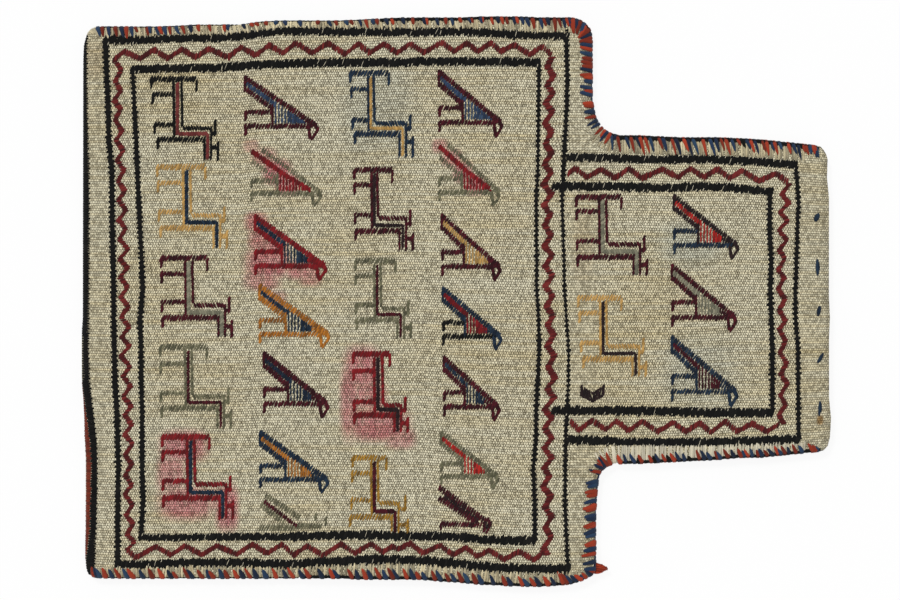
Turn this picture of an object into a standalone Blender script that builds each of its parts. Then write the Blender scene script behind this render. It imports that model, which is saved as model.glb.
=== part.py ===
"""Flatwoven salt bag: one woven cloth, folded at the bottom, sewn up both sides and left open at its neck.

The bag lies on its back. +X runs from the fold to the mouth, +Y across the bag and +Z up through its front.
The origin is the middle of the bag's outline, on the surface that it lies on. All sizes are in metres.
"""

import math

import bmesh
import bpy
from mathutils import Vector

# The cloth
BODY_LENGTH = 0.3825
NECK_LENGTH = 0.1785
FOLD_WIDTH = 0.4085
NECK_WIDTH_AT_SHOULDER = 0.2420
NECK_WIDTH_AT_MOUTH = 0.2250
CLOTH_THICKNESS = 0.0022
POUCH_GAP = 0.0045
# How far each side of the body stands out past its width at the fold: (share of the body's length, distance)
UPPER_SIDE_BULGE = ((0.0, 0.0), (0.22, 0.0015), (0.40, 0.0050), (0.62, 0.0068), (0.90, 0.0066), (1.0, 0.0060))
LOWER_SIDE_BULGE = ((0.0, 0.0), (0.42, 0.0004), (0.62, 0.0012), (0.80, 0.0062), (0.90, 0.0060), (1.0, 0.0025))
SHOULDER_RADIUS = 0.0090
ARMPIT_RADIUS = 0.0160
MOUTH_RADIUS = 0.0045
INNER_CORNER_RADIUS = 0.0020
FRONT_MARGIN = 0.0055
BACK_MARGIN = 0.0100
PLY_GAP = 0.0003
JOINT_GAP = 0.0005
ARC_STEPS = 5
FOLD_STEPS = 8

# The ribs of the weave on the front
RIB_PITCH = 0.0035
RIB_DEPTH = 0.00035
RIB_END = 0.0010
LEVEL_WITHIN = 0.0002

# The overcast side seams
SEAM_YARN = 0.0010
SEAM_CLEARANCE = 0.0003
STITCH_WIDTH = 0.0020
STITCH_PITCH = 0.0205
STITCH_REACH_FRONT = 0.0052
STITCH_REACH_BACK = 0.0032
STITCH_SLANT = 0.0022
SEAM_START = 0.0030

# What is worked on the face of the cloth
RAISE_CLEARANCE = 0.0003
LINE_HEIGHT = 0.0008
FIGURE_HEIGHT = 0.0009
LINE_WIDTH_ALONG = 0.0040
LINE_WIDTH_ACROSS = 0.0030
ZIGZAG_WIDTH = 0.0026
ZIGZAG_SWING = 0.0040
WAVE_ALONG = 0.0212
WAVE_ACROSS = 0.0149

# Where the borders run
BODY_BORDER_FROM_FOLD_UPPER = 0.0185
BODY_BORDER_FROM_FOLD_LOWER = 0.0265
BODY_BORDER_FROM_SIDE = 0.0083
BODY_BORDER_FROM_SHOULDER = 0.0200
NECK_BORDER_FROM_SIDE = 0.0127
NECK_BORDER_FROM_MOUTH = 0.0245
BORDER_BAND = 0.0212
LINE_GAP = 0.0003

# The stripes along the fold
FOLD_STRIPE_THICKNESS = 0.0008
BLACK_STRIPE_FLAT = 0.0040
BLACK_STRIPE_ENDS_AT = math.radians(50)
RED_STRIPE_STARTS_AT = math.radians(56)
RED_STRIPE_ENDS_AT = math.radians(104)

# The blue stitches along the mouth
MOUTH_STITCHES = 5
MOUTH_STITCH_PITCH = 0.0358
MOUTH_STITCH_LENGTH = 0.0085
MOUTH_STITCH_WIDTH = 0.0022
MOUTH_STITCH_FROM_EDGE = 0.0088
MOUTH_STITCHES_MIDDLE_Y = -0.0079

# The loose end of red yarn at the lower shoulder
TUFT_LENGTH = 0.0060
TUFT_RADIUS = 0.0016
TUFT_SEAT = 0.0005

# Working sizes
FRONT_TOP = 2 * CLOTH_THICKNESS + POUCH_GAP
FRONT_MIDDLE = FRONT_TOP - CLOTH_THICKNESS / 2
BACK_MIDDLE = CLOTH_THICKNESS / 2
SEAM_MIDDLE = FRONT_TOP / 2
FRONT_EDGE_MIDDLE = SEAM_MIDDLE + (CLOTH_THICKNESS + PLY_GAP) / 2
BACK_EDGE_MIDDLE = SEAM_MIDDLE - (CLOTH_THICKNESS + PLY_GAP) / 2
FRONT_SLOPE = math.atan2(FRONT_MIDDLE - FRONT_EDGE_MIDDLE, FRONT_MARGIN)
BACK_SLOPE = math.atan2(BACK_EDGE_MIDDLE - BACK_MIDDLE, BACK_MARGIN)
RIM_LEAN = CLOTH_THICKNESS / 2 * math.sin(FRONT_SLOPE)
FOLD_RADIUS = FRONT_TOP / 2

FOLD_X = -(BODY_LENGTH + NECK_LENGTH) / 2
FOLD_LINE_X = FOLD_X + FOLD_RADIUS
SHOULDER_X = FOLD_X + BODY_LENGTH
MOUTH_X = SHOULDER_X + NECK_LENGTH

# Colours, as linear red, green and blue
CREAM = (0.50, 0.43, 0.30)
BLACK = (0.010, 0.010, 0.012)
MADDER = (0.17, 0.022, 0.022)
SEAM_RED = (0.38, 0.050, 0.016)
SEAM_BLUE = (0.014, 0.036, 0.095)
MAROON = (0.055, 0.006, 0.016)
CRIMSON = (0.33, 0.010, 0.018)
GOLD = (0.46, 0.25, 0.055)
SAGE = (0.17, 0.17, 0.095)
NAVY = (0.014, 0.036, 0.085)
DARK_BROWN = (0.022, 0.010, 0.010)


class Field:
    """A rectangle of plain cloth inside a border, where figures stand."""

    def __init__(self, left, right, upper, lower):
        self.left = left
        self.right = right
        self.upper = upper
        self.lower = lower

    def box(self, shares):
        """The figure box (left, upper, width, height) from its shares of the field."""
        across, down, width, height = shares
        length = self.right - self.left
        depth = self.upper - self.lower
        return (
            self.left + across * length,
            self.upper - down * depth,
            width * length,
            height * depth,
        )


# Figures as (name, outline, colour, share of the field from its left, from its top, of its width, of its height)
BODY_FIGURES = (
    ("goat_1", "goat", BLACK, 0.018, 0.010, 0.177, 0.183),
    ("goat_2", "goat", GOLD, 0.034, 0.197, 0.184, 0.187),
    ("goat_3", "goat", MAROON, 0.044, 0.395, 0.187, 0.183),
    ("goat_4", "goat", SAGE, 0.041, 0.595, 0.187, 0.180),
    ("goat_5", "goat", CRIMSON, 0.047, 0.779, 0.187, 0.194),
    ("bird_1", "bird", MAROON, 0.259, 0.007, 0.192, 0.139),
    ("bird_2", "bird", SAGE, 0.274, 0.164, 0.184, 0.126),
    ("bird_3", "bird", CRIMSON, 0.285, 0.310, 0.187, 0.141),
    ("bird_4", "bird", GOLD, 0.297, 0.466, 0.182, 0.133),
    ("bird_5", "bird", MAROON, 0.310, 0.610, 0.166, 0.141),
    ("bird_6", "bird", NAVY, 0.297, 0.782, 0.179, 0.133),
    ("bird_7", "bird", SAGE, 0.308, 0.932, 0.159, 0.065),
    ("goat_6", "goat", NAVY, 0.528, -0.003, 0.166, 0.189),
    ("goat_7", "goat", MAROON, 0.538, 0.210, 0.156, 0.178),
    ("goat_8", "goat", SAGE, 0.541, 0.408, 0.148, 0.172),
    ("goat_9", "goat", CRIMSON, 0.535, 0.610, 0.146, 0.174),
    ("goat_10", "goat", GOLD, 0.535, 0.836, 0.146, 0.165),
    ("bird_8", "bird", MAROON, 0.756, -0.006, 0.166, 0.146),
    ("bird_9", "bird", SAGE, 0.756, 0.153, 0.159, 0.137),
    ("bird_10", "bird", MAROON, 0.763, 0.308, 0.154, 0.146),
    ("bird_11", "bird", NAVY, 0.766, 0.466, 0.154, 0.137),
    ("bird_12", "bird", MAROON, 0.768, 0.616, 0.146, 0.141),
    ("bird_13", "bird", SAGE, 0.761, 0.779, 0.151, 0.126),
    ("bird_14", "bird", MAROON, 0.756, 0.908, 0.138, 0.094),
)
NECK_FIGURES = (
    ("goat_11", "goat", MAROON, 0.029, -0.013, 0.372, 0.387),
    ("goat_12", "goat", GOLD, 0.040, 0.469, 0.357, 0.387),
    ("bird_15", "bird", DARK_BROWN, 0.529, -0.008, 0.336, 0.301),
    ("bird_16", "bird", MAROON, 0.519, 0.316, 0.336, 0.324),
    ("bird_17", "bird", NAVY, 0.519, 0.660, 0.341, 0.339),
    ("hoof_mark", "chevron", DARK_BROWN, 0.060, 0.898, 0.117, 0.086),
)

# A goat seen from its side, feet to the left, as shares of its box: its feet, body, tail, horns and muzzle
GOAT_OUTLINE = (
    (0.00, 0.02), (0.65, 0.02), (0.65, 0.00), (0.69, 0.00), (0.69, 0.19), (0.65, 0.19), (0.65, 0.08),
    (0.49, 0.08), (0.49, 0.59), (0.85, 0.59), (0.88, 0.66), (0.93, 0.66), (0.93, 0.53), (0.97, 0.53),
    (0.97, 0.71), (0.90, 0.72), (0.90, 0.84), (0.96, 0.84), (0.96, 0.79), (1.00, 0.79), (1.00, 1.00),
    (0.96, 1.00), (0.96, 0.89), (0.90, 0.89), (0.90, 1.00), (0.78, 1.00), (0.78, 0.79), (0.12, 0.79),
    (0.12, 0.85), (0.08, 0.85), (0.08, 0.72), (0.33, 0.72), (0.33, 0.61), (0.07, 0.61), (0.07, 0.67),
    (0.03, 0.67), (0.03, 0.54), (0.33, 0.54), (0.33, 0.26), (0.06, 0.26), (0.06, 0.31), (0.02, 0.31),
    (0.02, 0.20), (0.33, 0.20), (0.33, 0.08), (0.05, 0.08), (0.05, 0.15), (0.00, 0.15),
)
# A bird, tail at the upper left and beak at the lower right, with two legs that reach to the left
BIRD_OUTLINE = (
    (0.00, 0.00), (0.38, 0.31), (0.78, 0.60), (0.90, 0.68), (1.00, 0.80), (1.00, 0.88), (0.88, 1.00),
    (0.84, 0.95), (0.87, 0.86), (0.05, 0.86), (0.05, 0.94), (0.00, 0.94), (0.00, 0.77), (0.37, 0.77),
    (0.37, 0.63), (0.05, 0.63), (0.05, 0.70), (0.00, 0.70), (0.00, 0.53), (0.34, 0.53), (0.29, 0.49),
    (0.00, 0.25),
)
# Two short strokes that meet in a point
CHEVRON_OUTLINE = (
    (0.00, 0.05), (0.20, 0.00), (0.50, 0.45), (0.80, 0.00), (1.00, 0.05), (0.95, 0.55), (0.50, 1.00),
    (0.08, 0.60),
)
OUTLINES = {"goat": GOAT_OUTLINE, "bird": BIRD_OUTLINE, "chevron": CHEVRON_OUTLINE}


def clear_scene():
    """Removes every object, so that the model starts from an empty scene."""
    for item in list(bpy.data.objects):
        bpy.data.objects.remove(item)


def wool(name, colour):
    """A matt wool in one colour, made once for each name."""
    material = bpy.data.materials.get(name)
    if material:
        return material
    material = bpy.data.materials.new(name)
    material.use_nodes = True
    shader = material.node_tree.nodes["Principled BSDF"]
    shader.inputs["Base Color"].default_value = (*colour, 1.0)
    shader.inputs["Roughness"].default_value = 0.92
    shader.inputs["Metallic"].default_value = 0.0
    return material


def add_object(name, data, colour, collection):
    """Puts the data in the collection as an object of that name and colour."""
    item = bpy.data.objects.new(name, data)
    data.materials.append(wool("wool_%02d_%02d_%02d" % tuple(round(c * 99) for c in colour), colour))
    collection.objects.link(item)
    return item


def bulge(table, share):
    """The side's distance past its width at the fold, read between the table's points."""
    for (start, low), (end, high) in zip(table, table[1:]):
        if share <= end:
            t = (share - start) / (end - start)
            return low + (high - low) * (t * t * (3 - 2 * t))
    return table[-1][1]


def side_y(side, x, inset=0.0):
    """Where the body's side lies across the bag at x, moved inwards by the inset."""
    table = UPPER_SIDE_BULGE if side > 0 else LOWER_SIDE_BULGE
    share = min(max((x - FOLD_X) / BODY_LENGTH, 0.0), 1.0)
    return side * (FOLD_WIDTH / 2 + bulge(table, share) - inset)


def neck_y(side, x, inset=0.0):
    """Where the neck's side lies across the bag at x, moved inwards by the inset."""
    share = (x - SHOULDER_X) / NECK_LENGTH
    width = NECK_WIDTH_AT_SHOULDER + (NECK_WIDTH_AT_MOUTH - NECK_WIDTH_AT_SHOULDER) * share
    return side * (width / 2 - inset)


def line_meeting(first, first_way, second, second_way):
    """Where two lines cross, each given by a point and a direction."""
    cross = first_way.x * second_way.y - first_way.y * second_way.x
    between = second - first
    if abs(cross) < 1e-4:
        return first + first_way * between.dot(first_way)
    along = (between.x * second_way.y - between.y * second_way.x) / cross
    return first + first_way * along


def inset_corners(corners, side, insets):
    """The corners of an open path whose runs are each moved towards the cloth by their own inset."""
    ways = [(b - a).normalized() for a, b in zip(corners, corners[1:])]
    inward = [Vector((w.y, -w.x)) * side for w in ways]
    starts = [corners[i] + inward[i] * insets[i] for i in range(len(ways))]
    upright = Vector((0.0, 1.0))
    moved = [line_meeting(corners[0], upright, starts[0], ways[0])]
    for i in range(1, len(ways)):
        moved.append(line_meeting(starts[i - 1], ways[i - 1], starts[i], ways[i]))
    moved.append(corners[-1] + inward[-1] * insets[-1])
    return moved


def rounded(corners, radii):
    """The path through the corners, with an arc of ARC_STEPS runs at each corner that has a radius."""
    path = [corners[0]]
    for i in range(1, len(corners) - 1):
        before = (corners[i - 1] - corners[i]).normalized()
        after = (corners[i + 1] - corners[i]).normalized()
        if not radii[i]:
            path.append(corners[i])
            continue
        half = before.angle(after) / 2
        reach = radii[i] / math.tan(half)
        centre = corners[i] + (before + after).normalized() * (radii[i] / math.sin(half))
        first = corners[i] + before * reach - centre
        last = corners[i] + after * reach - centre
        turn = first.angle_signed(last)
        for step in range(ARC_STEPS + 1):
            angle = -turn * step / ARC_STEPS
            spoke = Vector((
                first.x * math.cos(angle) - first.y * math.sin(angle),
                first.x * math.sin(angle) + first.y * math.cos(angle),
            ))
            path.append(centre + spoke)
    path.append(corners[-1])
    return path


def mouth_end(side, inset):
    """The last points of a sewn side: round the corner at the mouth, or straight on to the mouth inside it."""
    points = []
    for step in range(ARC_STEPS + 1):
        angle = math.pi / 2 * step / ARC_STEPS
        x = MOUTH_X - MOUTH_RADIUS * (1 - math.sin(angle))
        drop = max(MOUTH_RADIUS * (1 - math.cos(angle)) - inset, 0.0)
        points.append(Vector((x, neck_y(side, x, inset + drop))))
    return points


def side_path(side, inset):
    """The sewn side of the cloth from the fold to the mouth, moved inwards by the inset."""
    table = UPPER_SIDE_BULGE if side > 0 else LOWER_SIDE_BULGE
    corners = [Vector((FOLD_LINE_X, side_y(side, FOLD_LINE_X)))]
    for share, _ in table[1:-1]:
        x = FOLD_X + share * BODY_LENGTH
        corners.append(Vector((x, side_y(side, x))))
    radii = [0.0] * len(corners)
    corners.append(Vector((SHOULDER_X, side_y(side, SHOULDER_X))))
    corners.append(Vector((SHOULDER_X, neck_y(side, SHOULDER_X))))
    corners.append(Vector((MOUTH_X, neck_y(side, MOUTH_X))))
    radii += [max(SHOULDER_RADIUS - inset, INNER_CORNER_RADIUS), ARMPIT_RADIUS + inset, 0.0]
    path = rounded(inset_corners(corners, side, [inset] * (len(corners) - 1)), radii)
    return path[:-1] + mouth_end(side, inset)


def sheet_panel(mesh, edge_z, inner_z, margin, start_x):
    """One panel of the cloth: a flat middle and a margin that slopes to each sewn side.

    Returns, for each side, its vertices along the edge and along the inner line.
    """
    rows = {}
    for side in (1, -1):
        edge = [mesh.verts.new((max(p.x, start_x), p.y, edge_z)) for p in side_path(side, 0.0)]
        inner = [mesh.verts.new((max(p.x, start_x), p.y, inner_z)) for p in side_path(side, margin)]
        for i in range(len(edge) - 1):
            mesh.faces.new((edge[i], edge[i + 1], inner[i + 1], inner[i]))
        rows[side] = (edge, inner)
    mesh.faces.new(rows[1][1] + rows[-1][1][::-1])
    return rows


def fold_column(mesh, upper, lower):
    """The vertices of one half circle round the fold, each end given as where it lies across and its height."""
    radius = (upper[1] - lower[1]) / 2
    middle = (upper[1] + lower[1]) / 2
    column = []
    for step in range(FOLD_STEPS + 1):
        share = step / FOLD_STEPS
        x = FOLD_LINE_X - radius * math.sin(math.pi * share)
        y = upper[0] + (lower[0] - upper[0]) * share
        column.append(mesh.verts.new((x, y, middle + radius * math.cos(math.pi * share))))
    return column


def panel_middle(edge_z, inner_z, margin):
    """The middle surface of the front or of the back, from its joint with the fold to the mouth."""
    mesh = bmesh.new()
    sheet_panel(mesh, edge_z, inner_z, margin, FOLD_LINE_X + JOINT_GAP)
    bmesh.ops.recalc_face_normals(mesh, faces=mesh.faces)
    return mesh


def fold_middle():
    """The middle surface of the round fold, which narrows to the sewn edges at both ends."""
    mesh = bmesh.new()
    columns = []
    for side, within in ((1, 0), (1, 1), (-1, 1), (-1, 0)):
        upper_y = side_path(side, FRONT_MARGIN if within else 0.0)[0].y
        lower_y = side_path(side, BACK_MARGIN if within else 0.0)[0].y
        upper = (upper_y, FRONT_MIDDLE if within else FRONT_EDGE_MIDDLE)
        lower = (lower_y, BACK_MIDDLE if within else BACK_EDGE_MIDDLE)
        columns.append(fold_column(mesh, upper, lower))
    for first, second in zip(columns, columns[1:]):
        for i in range(FOLD_STEPS):
            mesh.faces.new((first[i], first[i + 1], second[i + 1], second[i]))
    bmesh.ops.recalc_face_normals(mesh, faces=mesh.faces)
    return mesh


def evaluated_mesh(item):
    """A new mesh of the object as its modifiers leave it."""
    graph = bpy.context.evaluated_depsgraph_get()
    graph.update()
    return bpy.data.meshes.new_from_object(item.evaluated_get(graph))


def level_flats(mesh):
    """Brings the flat middles of both panels to their exact heights, outside and inside."""
    heights = (0.0, CLOTH_THICKNESS, FRONT_TOP - CLOTH_THICKNESS, FRONT_TOP)
    for vert in mesh.verts:
        for height in heights:
            if abs(vert.co.z - height) < LEVEL_WITHIN and vert.co.x > FOLD_LINE_X - PLY_GAP:
                vert.co.z = height


def rib_front(mesh):
    """Turns the flat top of the front into ribs that run from the fold to the mouth."""
    top = [f for f in mesh.faces if f.normal.z > 0.999 and f.calc_center_median().z > FRONT_TOP - RIB_DEPTH]
    bmesh.ops.inset_region(mesh, faces=top, thickness=RIB_END, use_even_offset=True)
    for face in top:
        face.material_index = 1
    half_width = FOLD_WIDTH / 2 + max(d for _, d in UPPER_SIDE_BULGE + LOWER_SIDE_BULGE)
    cuts = int(half_width / (RIB_PITCH / 2))
    for k in range(-cuts, cuts + 1):
        faces = [f for f in mesh.faces if f.material_index == 1]
        edges = {e for f in faces for e in f.edges}
        verts = {v for f in faces for v in f.verts}
        bmesh.ops.bisect_plane(
            mesh,
            geom=faces + list(edges) + list(verts),
            dist=1e-7,
            plane_co=(0.0, k * RIB_PITCH / 2, 0.0),
            plane_no=(0.0, 1.0, 0.0),
        )
    for vert in {v for f in mesh.faces if f.material_index == 1 for v in f.verts}:
        steps = vert.co.y / (RIB_PITCH / 2)
        if abs(steps - round(steps)) < 1e-3 and round(steps) % 2:
            vert.co.z -= RIB_DEPTH
    for face in mesh.faces:
        face.material_index = 0


def thickened(name, surface, collection):
    """The middle surface given the cloth's even thickness, as a closed mesh."""
    data = bpy.data.meshes.new(name)
    surface.to_mesh(data)
    surface.free()
    guide = bpy.data.objects.new(name, data)
    collection.objects.link(guide)
    thicken = guide.modifiers.new("thickness", "SOLIDIFY")
    thicken.thickness = CLOTH_THICKNESS
    thicken.offset = 0.0
    thicken.use_even_offset = True
    thicken.use_rim = True
    solid = bmesh.new()
    solid.from_mesh(evaluated_mesh(guide))
    bpy.data.objects.remove(guide)
    bmesh.ops.recalc_face_normals(solid, faces=solid.faces)
    level_flats(solid)
    return solid


def make_cloth(collection):
    """The folded cloth, of even thickness, in three solids: its front, its back and the round fold between."""
    front = thickened("front_middle", panel_middle(FRONT_EDGE_MIDDLE, FRONT_MIDDLE, FRONT_MARGIN), collection)
    rib_front(front)
    back = thickened("back_middle", panel_middle(BACK_EDGE_MIDDLE, BACK_MIDDLE, BACK_MARGIN), collection)
    fold = thickened("fold_middle", fold_middle(), collection)
    for name, solid in (("front_cloth", front), ("back_cloth", back), ("fold_cloth", fold)):
        data = bpy.data.meshes.new(name)
        solid.to_mesh(data)
        solid.free()
        add_object(name, data, CREAM, collection)


def path_stations(path, side, marks):
    """Points along the path at the marks, as (mark, point, outward direction, forward direction)."""
    lengths = [0.0]
    for a, b in zip(path, path[1:]):
        lengths.append(lengths[-1] + (b - a).length)
    stations = []
    run = 0
    for mark in marks:
        while run < len(path) - 2 and mark > lengths[run + 1] + 1e-9:
            run += 1
        way = (path[run + 1] - path[run]).normalized()
        point = path[run] + way * (mark - lengths[run])
        outward = Vector((-way.y, way.x)) * side
        if abs(mark - lengths[run + 1]) < 1e-9 and run < len(path) - 2:
            after = (path[run + 2] - path[run + 1]).normalized()
            outward = outward + Vector((-after.y, after.x)) * side
            outward = outward / outward.length
            outward = outward / outward.dot(Vector((-way.y, way.x)) * side)
        stations.append((mark, point, outward, way))
    return stations


def pull(mesh, face, vector):
    """Extrudes one face by the vector and returns the face at its new place."""
    moved = bmesh.ops.extrude_discrete_faces(mesh, faces=[face])["faces"][0]
    bmesh.ops.translate(mesh, verts=moved.verts, vec=vector)
    return moved


def side_towards(face, way):
    """The face next to this one that looks most nearly along the way."""
    neighbours = {f for e in face.edges for f in e.link_faces if f != face}
    for neighbour in neighbours:
        neighbour.normal_update()
    return max(neighbours, key=lambda f: f.normal.dot(way))


def wrap_stitch(mesh, upper, lower, outward, forward, gap):
    """Takes one stitch from the edge thread round both plies, over the front and over the back."""
    inward = Vector((-outward.x, -outward.y, 0.0)).normalized()
    ahead = Vector((forward.x, forward.y, 0.0))
    legs = (
        (upper, 1, FRONT_EDGE_MIDDLE, FRONT_SLOPE, STITCH_REACH_FRONT),
        (lower, -1, BACK_EDGE_MIDDLE, BACK_SLOPE, STITCH_REACH_BACK),
    )
    for face, up, ply, slope, reach in legs:
        lift = (CLOTH_THICKNESS / 2 + SEAM_CLEARANCE) / math.cos(slope) - gap * math.tan(slope)
        start = face.calc_center_median().z
        riser = pull(mesh, face, Vector((0.0, 0.0, ply + up * lift - start)))
        head = pull(mesh, riser, Vector((0.0, 0.0, up * SEAM_YARN)))
        inner = side_towards(head, inward)
        travel = reach + gap
        slant = ahead * STITCH_SLANT * (travel / (STITCH_REACH_FRONT + gap))
        pull(mesh, inner, inward * travel + slant + Vector((0.0, 0.0, up * travel * math.tan(slope))))


def make_seam_yarn(name, side, gap, first, colour, collection):
    """One overcast yarn of a side seam: a thread along the edge, with a stitch wrapped round both plies
    at every pitch. The gap is how far the thread lies outside the cloth, and first is the first stitch's place."""
    path = side_path(side, 0.0)
    length = sum((b - a).length for a, b in zip(path, path[1:]))
    last = length - MOUTH_RADIUS
    centres = []
    place = first
    while place < length - MOUTH_RADIUS * math.pi / 2 - STITCH_WIDTH:
        centres.append(place)
        place += STITCH_PITCH
    half = STITCH_WIDTH / 2
    marks = {SEAM_START, last}
    for centre in centres:
        marks |= {centre - half, centre + half}
    turned = 0.0
    for a, b in zip(path, path[1:-1]):
        turned += (b - a).length
        near = min(abs(turned - c) for c in centres) < half + LINE_GAP
        if SEAM_START + half < turned < last - half and not near:
            marks.add(turned)
    mesh = bmesh.new()
    rings = []
    stations = path_stations(path, side, sorted(marks))
    for _, point, outward, _ in stations:
        near_edge = point + outward * gap
        far_edge = point + outward * (gap + SEAM_YARN)
        low = SEAM_MIDDLE - SEAM_YARN / 2
        high = SEAM_MIDDLE + SEAM_YARN / 2
        rings.append([
            mesh.verts.new((*near_edge, low)),
            mesh.verts.new((*far_edge, low)),
            mesh.verts.new((*far_edge, high)),
            mesh.verts.new((*near_edge, high)),
        ])
    wraps = []
    for i in range(len(rings) - 1):
        a, b = rings[i], rings[i + 1]
        faces = [mesh.faces.new((a[j], b[j], b[(j + 1) % 4], a[(j + 1) % 4])) for j in range(4)]
        middle = (stations[i][0] + stations[i + 1][0]) / 2
        if any(abs(middle - c) < LINE_GAP for c in centres):
            wraps.append((faces[2], faces[0], stations[i]))
    mesh.faces.new(rings[0])
    mesh.faces.new(rings[-1][::-1])
    bmesh.ops.recalc_face_normals(mesh, faces=mesh.faces)
    for upper, lower, (_, _, outward, forward) in wraps:
        wrap_stitch(mesh, upper, lower, outward, forward, gap)
    bmesh.ops.recalc_face_normals(mesh, faces=mesh.faces)
    data = bpy.data.meshes.new(name)
    mesh.to_mesh(data)
    mesh.free()
    add_object(name, data, colour, collection)


def flat_piece(name, loops, height, colour, collection):
    """A flat shape worked on the face of the cloth: closed loops of points, given an even height."""
    data = bpy.data.curves.new(name, "CURVE")
    data.dimensions = "2D"
    data.fill_mode = "BOTH"
    data.extrude = height / 2
    for loop in loops:
        spline = data.splines.new("POLY")
        spline.points.add(len(loop) - 1)
        for point, place in zip(spline.points, loop):
            point.co = (place[0], place[1], 0.0, 1.0)
        spline.use_cyclic_u = True
    item = add_object(name, data, colour, collection)
    item.location.z = FRONT_TOP + RAISE_CLEARANCE + height / 2
    return item


def offset_line(points, distances, closed):
    """The line moved to its left, each run by its own distance, with mitred corners."""
    count = len(points)
    runs = count if closed else count - 1
    ways = [(points[(i + 1) % count] - points[i]).normalized() for i in range(runs)]
    shifted = [points[i] + Vector((-ways[i].y, ways[i].x)) * distances[i] for i in range(runs)]
    moved = []
    for i in range(count):
        if not closed and i == 0:
            moved.append(shifted[0])
        elif not closed and i == count - 1:
            moved.append(points[i] + Vector((-ways[-1].y, ways[-1].x)) * distances[-1])
        else:
            moved.append(line_meeting(shifted[i - 1], ways[i - 1], shifted[i], ways[i]))
    return moved


def ribbon_loops(points, widths, closed):
    """The outline of a ribbon along the points, each run with its own width."""
    left = offset_line(points, [w / 2 for w in widths], closed)
    right = offset_line(points, [-w / 2 for w in widths], closed)
    return [left, right] if closed else [left + right[::-1]]


def frame_points(inset, samples):
    """The body's border at that inset from its outer line: along the upper side, down the shoulder, back along
    the lower side and up the fold. Returns the points and each run's width."""
    right = SHOULDER_X - BODY_BORDER_FROM_SHOULDER - inset
    upper_left = FOLD_X + BODY_BORDER_FROM_FOLD_UPPER + inset
    lower_left = FOLD_X + BODY_BORDER_FROM_FOLD_LOWER + inset
    depth = BODY_BORDER_FROM_SIDE + inset
    upper = [upper_left + (right - upper_left) * i / samples for i in range(samples + 1)]
    lower = [right + (lower_left - right) * i / samples for i in range(samples + 1)]
    points = [Vector((x, side_y(1, x, depth))) for x in upper]
    points += [Vector((x, side_y(-1, x, depth))) for x in lower]
    widths = [LINE_WIDTH_ALONG] * samples + [LINE_WIDTH_ACROSS]
    widths += [LINE_WIDTH_ALONG] * samples + [LINE_WIDTH_ACROSS]
    return points, widths


def neck_points(inset):
    """The neck's border at that inset from its outer line, from the body's border round by the mouth and back."""
    start = SHOULDER_X - BODY_BORDER_FROM_SHOULDER + LINE_WIDTH_ACROSS / 2 + LINE_GAP
    end = MOUTH_X - NECK_BORDER_FROM_MOUTH - inset
    depth = NECK_BORDER_FROM_SIDE + inset
    points = [
        Vector((start, neck_y(1, start, depth))),
        Vector((end, neck_y(1, end, depth))),
        Vector((end, neck_y(-1, end, depth))),
        Vector((start, neck_y(-1, start, depth))),
    ]
    return points, [LINE_WIDTH_ALONG, LINE_WIDTH_ACROSS, LINE_WIDTH_ALONG]


def zigzag_points(corners, closed):
    """A zigzag along the corners' line, with whole waves on each run and no point at a corner."""
    count = len(corners)
    points = []
    for i in range(count if closed else count - 1):
        start, end = corners[i], corners[(i + 1) % count]
        way = (end - start).normalized()
        along = abs(way.x) > abs(way.y)
        waves = max(2, round((end - start).length / (WAVE_ALONG if along else WAVE_ACROSS)))
        for k in range(2 * waves):
            middle = start + (end - start) * ((k + 0.5) / (2 * waves))
            swing = ZIGZAG_SWING if k % 2 else -ZIGZAG_SWING
            points.append(middle + Vector((-way.y, way.x)) * swing)
    return points


def make_borders(collection):
    """The black lines and the red zigzags that frame the body and the neck."""
    samples = 6
    for name, inset in (("body_outer_border", 0.0), ("body_inner_border", BORDER_BAND)):
        points, widths = frame_points(inset, samples)
        flat_piece(name, ribbon_loops(points, widths, True), LINE_HEIGHT, BLACK, collection)
    corners, _ = frame_points(BORDER_BAND / 2, 1)
    points = zigzag_points(corners, True)
    loops = ribbon_loops(points, [ZIGZAG_WIDTH] * len(points), True)
    flat_piece("body_zigzag", loops, LINE_HEIGHT, MADDER, collection)
    for name, inset in (("neck_outer_border", 0.0), ("neck_inner_border", BORDER_BAND)):
        points, widths = neck_points(inset)
        flat_piece(name, ribbon_loops(points, widths, False), LINE_HEIGHT, BLACK, collection)
    corners, _ = neck_points(BORDER_BAND / 2)
    points = zigzag_points(corners, False)
    loops = ribbon_loops(points, [ZIGZAG_WIDTH] * (len(points) - 1), False)
    flat_piece("neck_zigzag", loops, LINE_HEIGHT, MADDER, collection)


def body_field():
    """The body's field, inside its inner border."""
    edge = BORDER_BAND + LINE_WIDTH_ALONG / 2 + LINE_GAP
    depth = BODY_BORDER_FROM_SIDE + edge
    return Field(
        FOLD_X + (BODY_BORDER_FROM_FOLD_UPPER + BODY_BORDER_FROM_FOLD_LOWER) / 2 + edge,
        SHOULDER_X - BODY_BORDER_FROM_SHOULDER - edge,
        FOLD_WIDTH / 2 - depth,
        depth - FOLD_WIDTH / 2,
    )


def neck_field():
    """The neck's field, inside its inner border."""
    edge = BORDER_BAND + LINE_WIDTH_ALONG / 2 + LINE_GAP
    right = MOUTH_X - NECK_BORDER_FROM_MOUTH - edge
    depth = NECK_BORDER_FROM_SIDE + edge
    return Field(
        SHOULDER_X - BODY_BORDER_FROM_SHOULDER + LINE_WIDTH_ACROSS + LINE_GAP,
        right,
        neck_y(1, right, depth),
        neck_y(-1, right, depth),
    )


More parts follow.
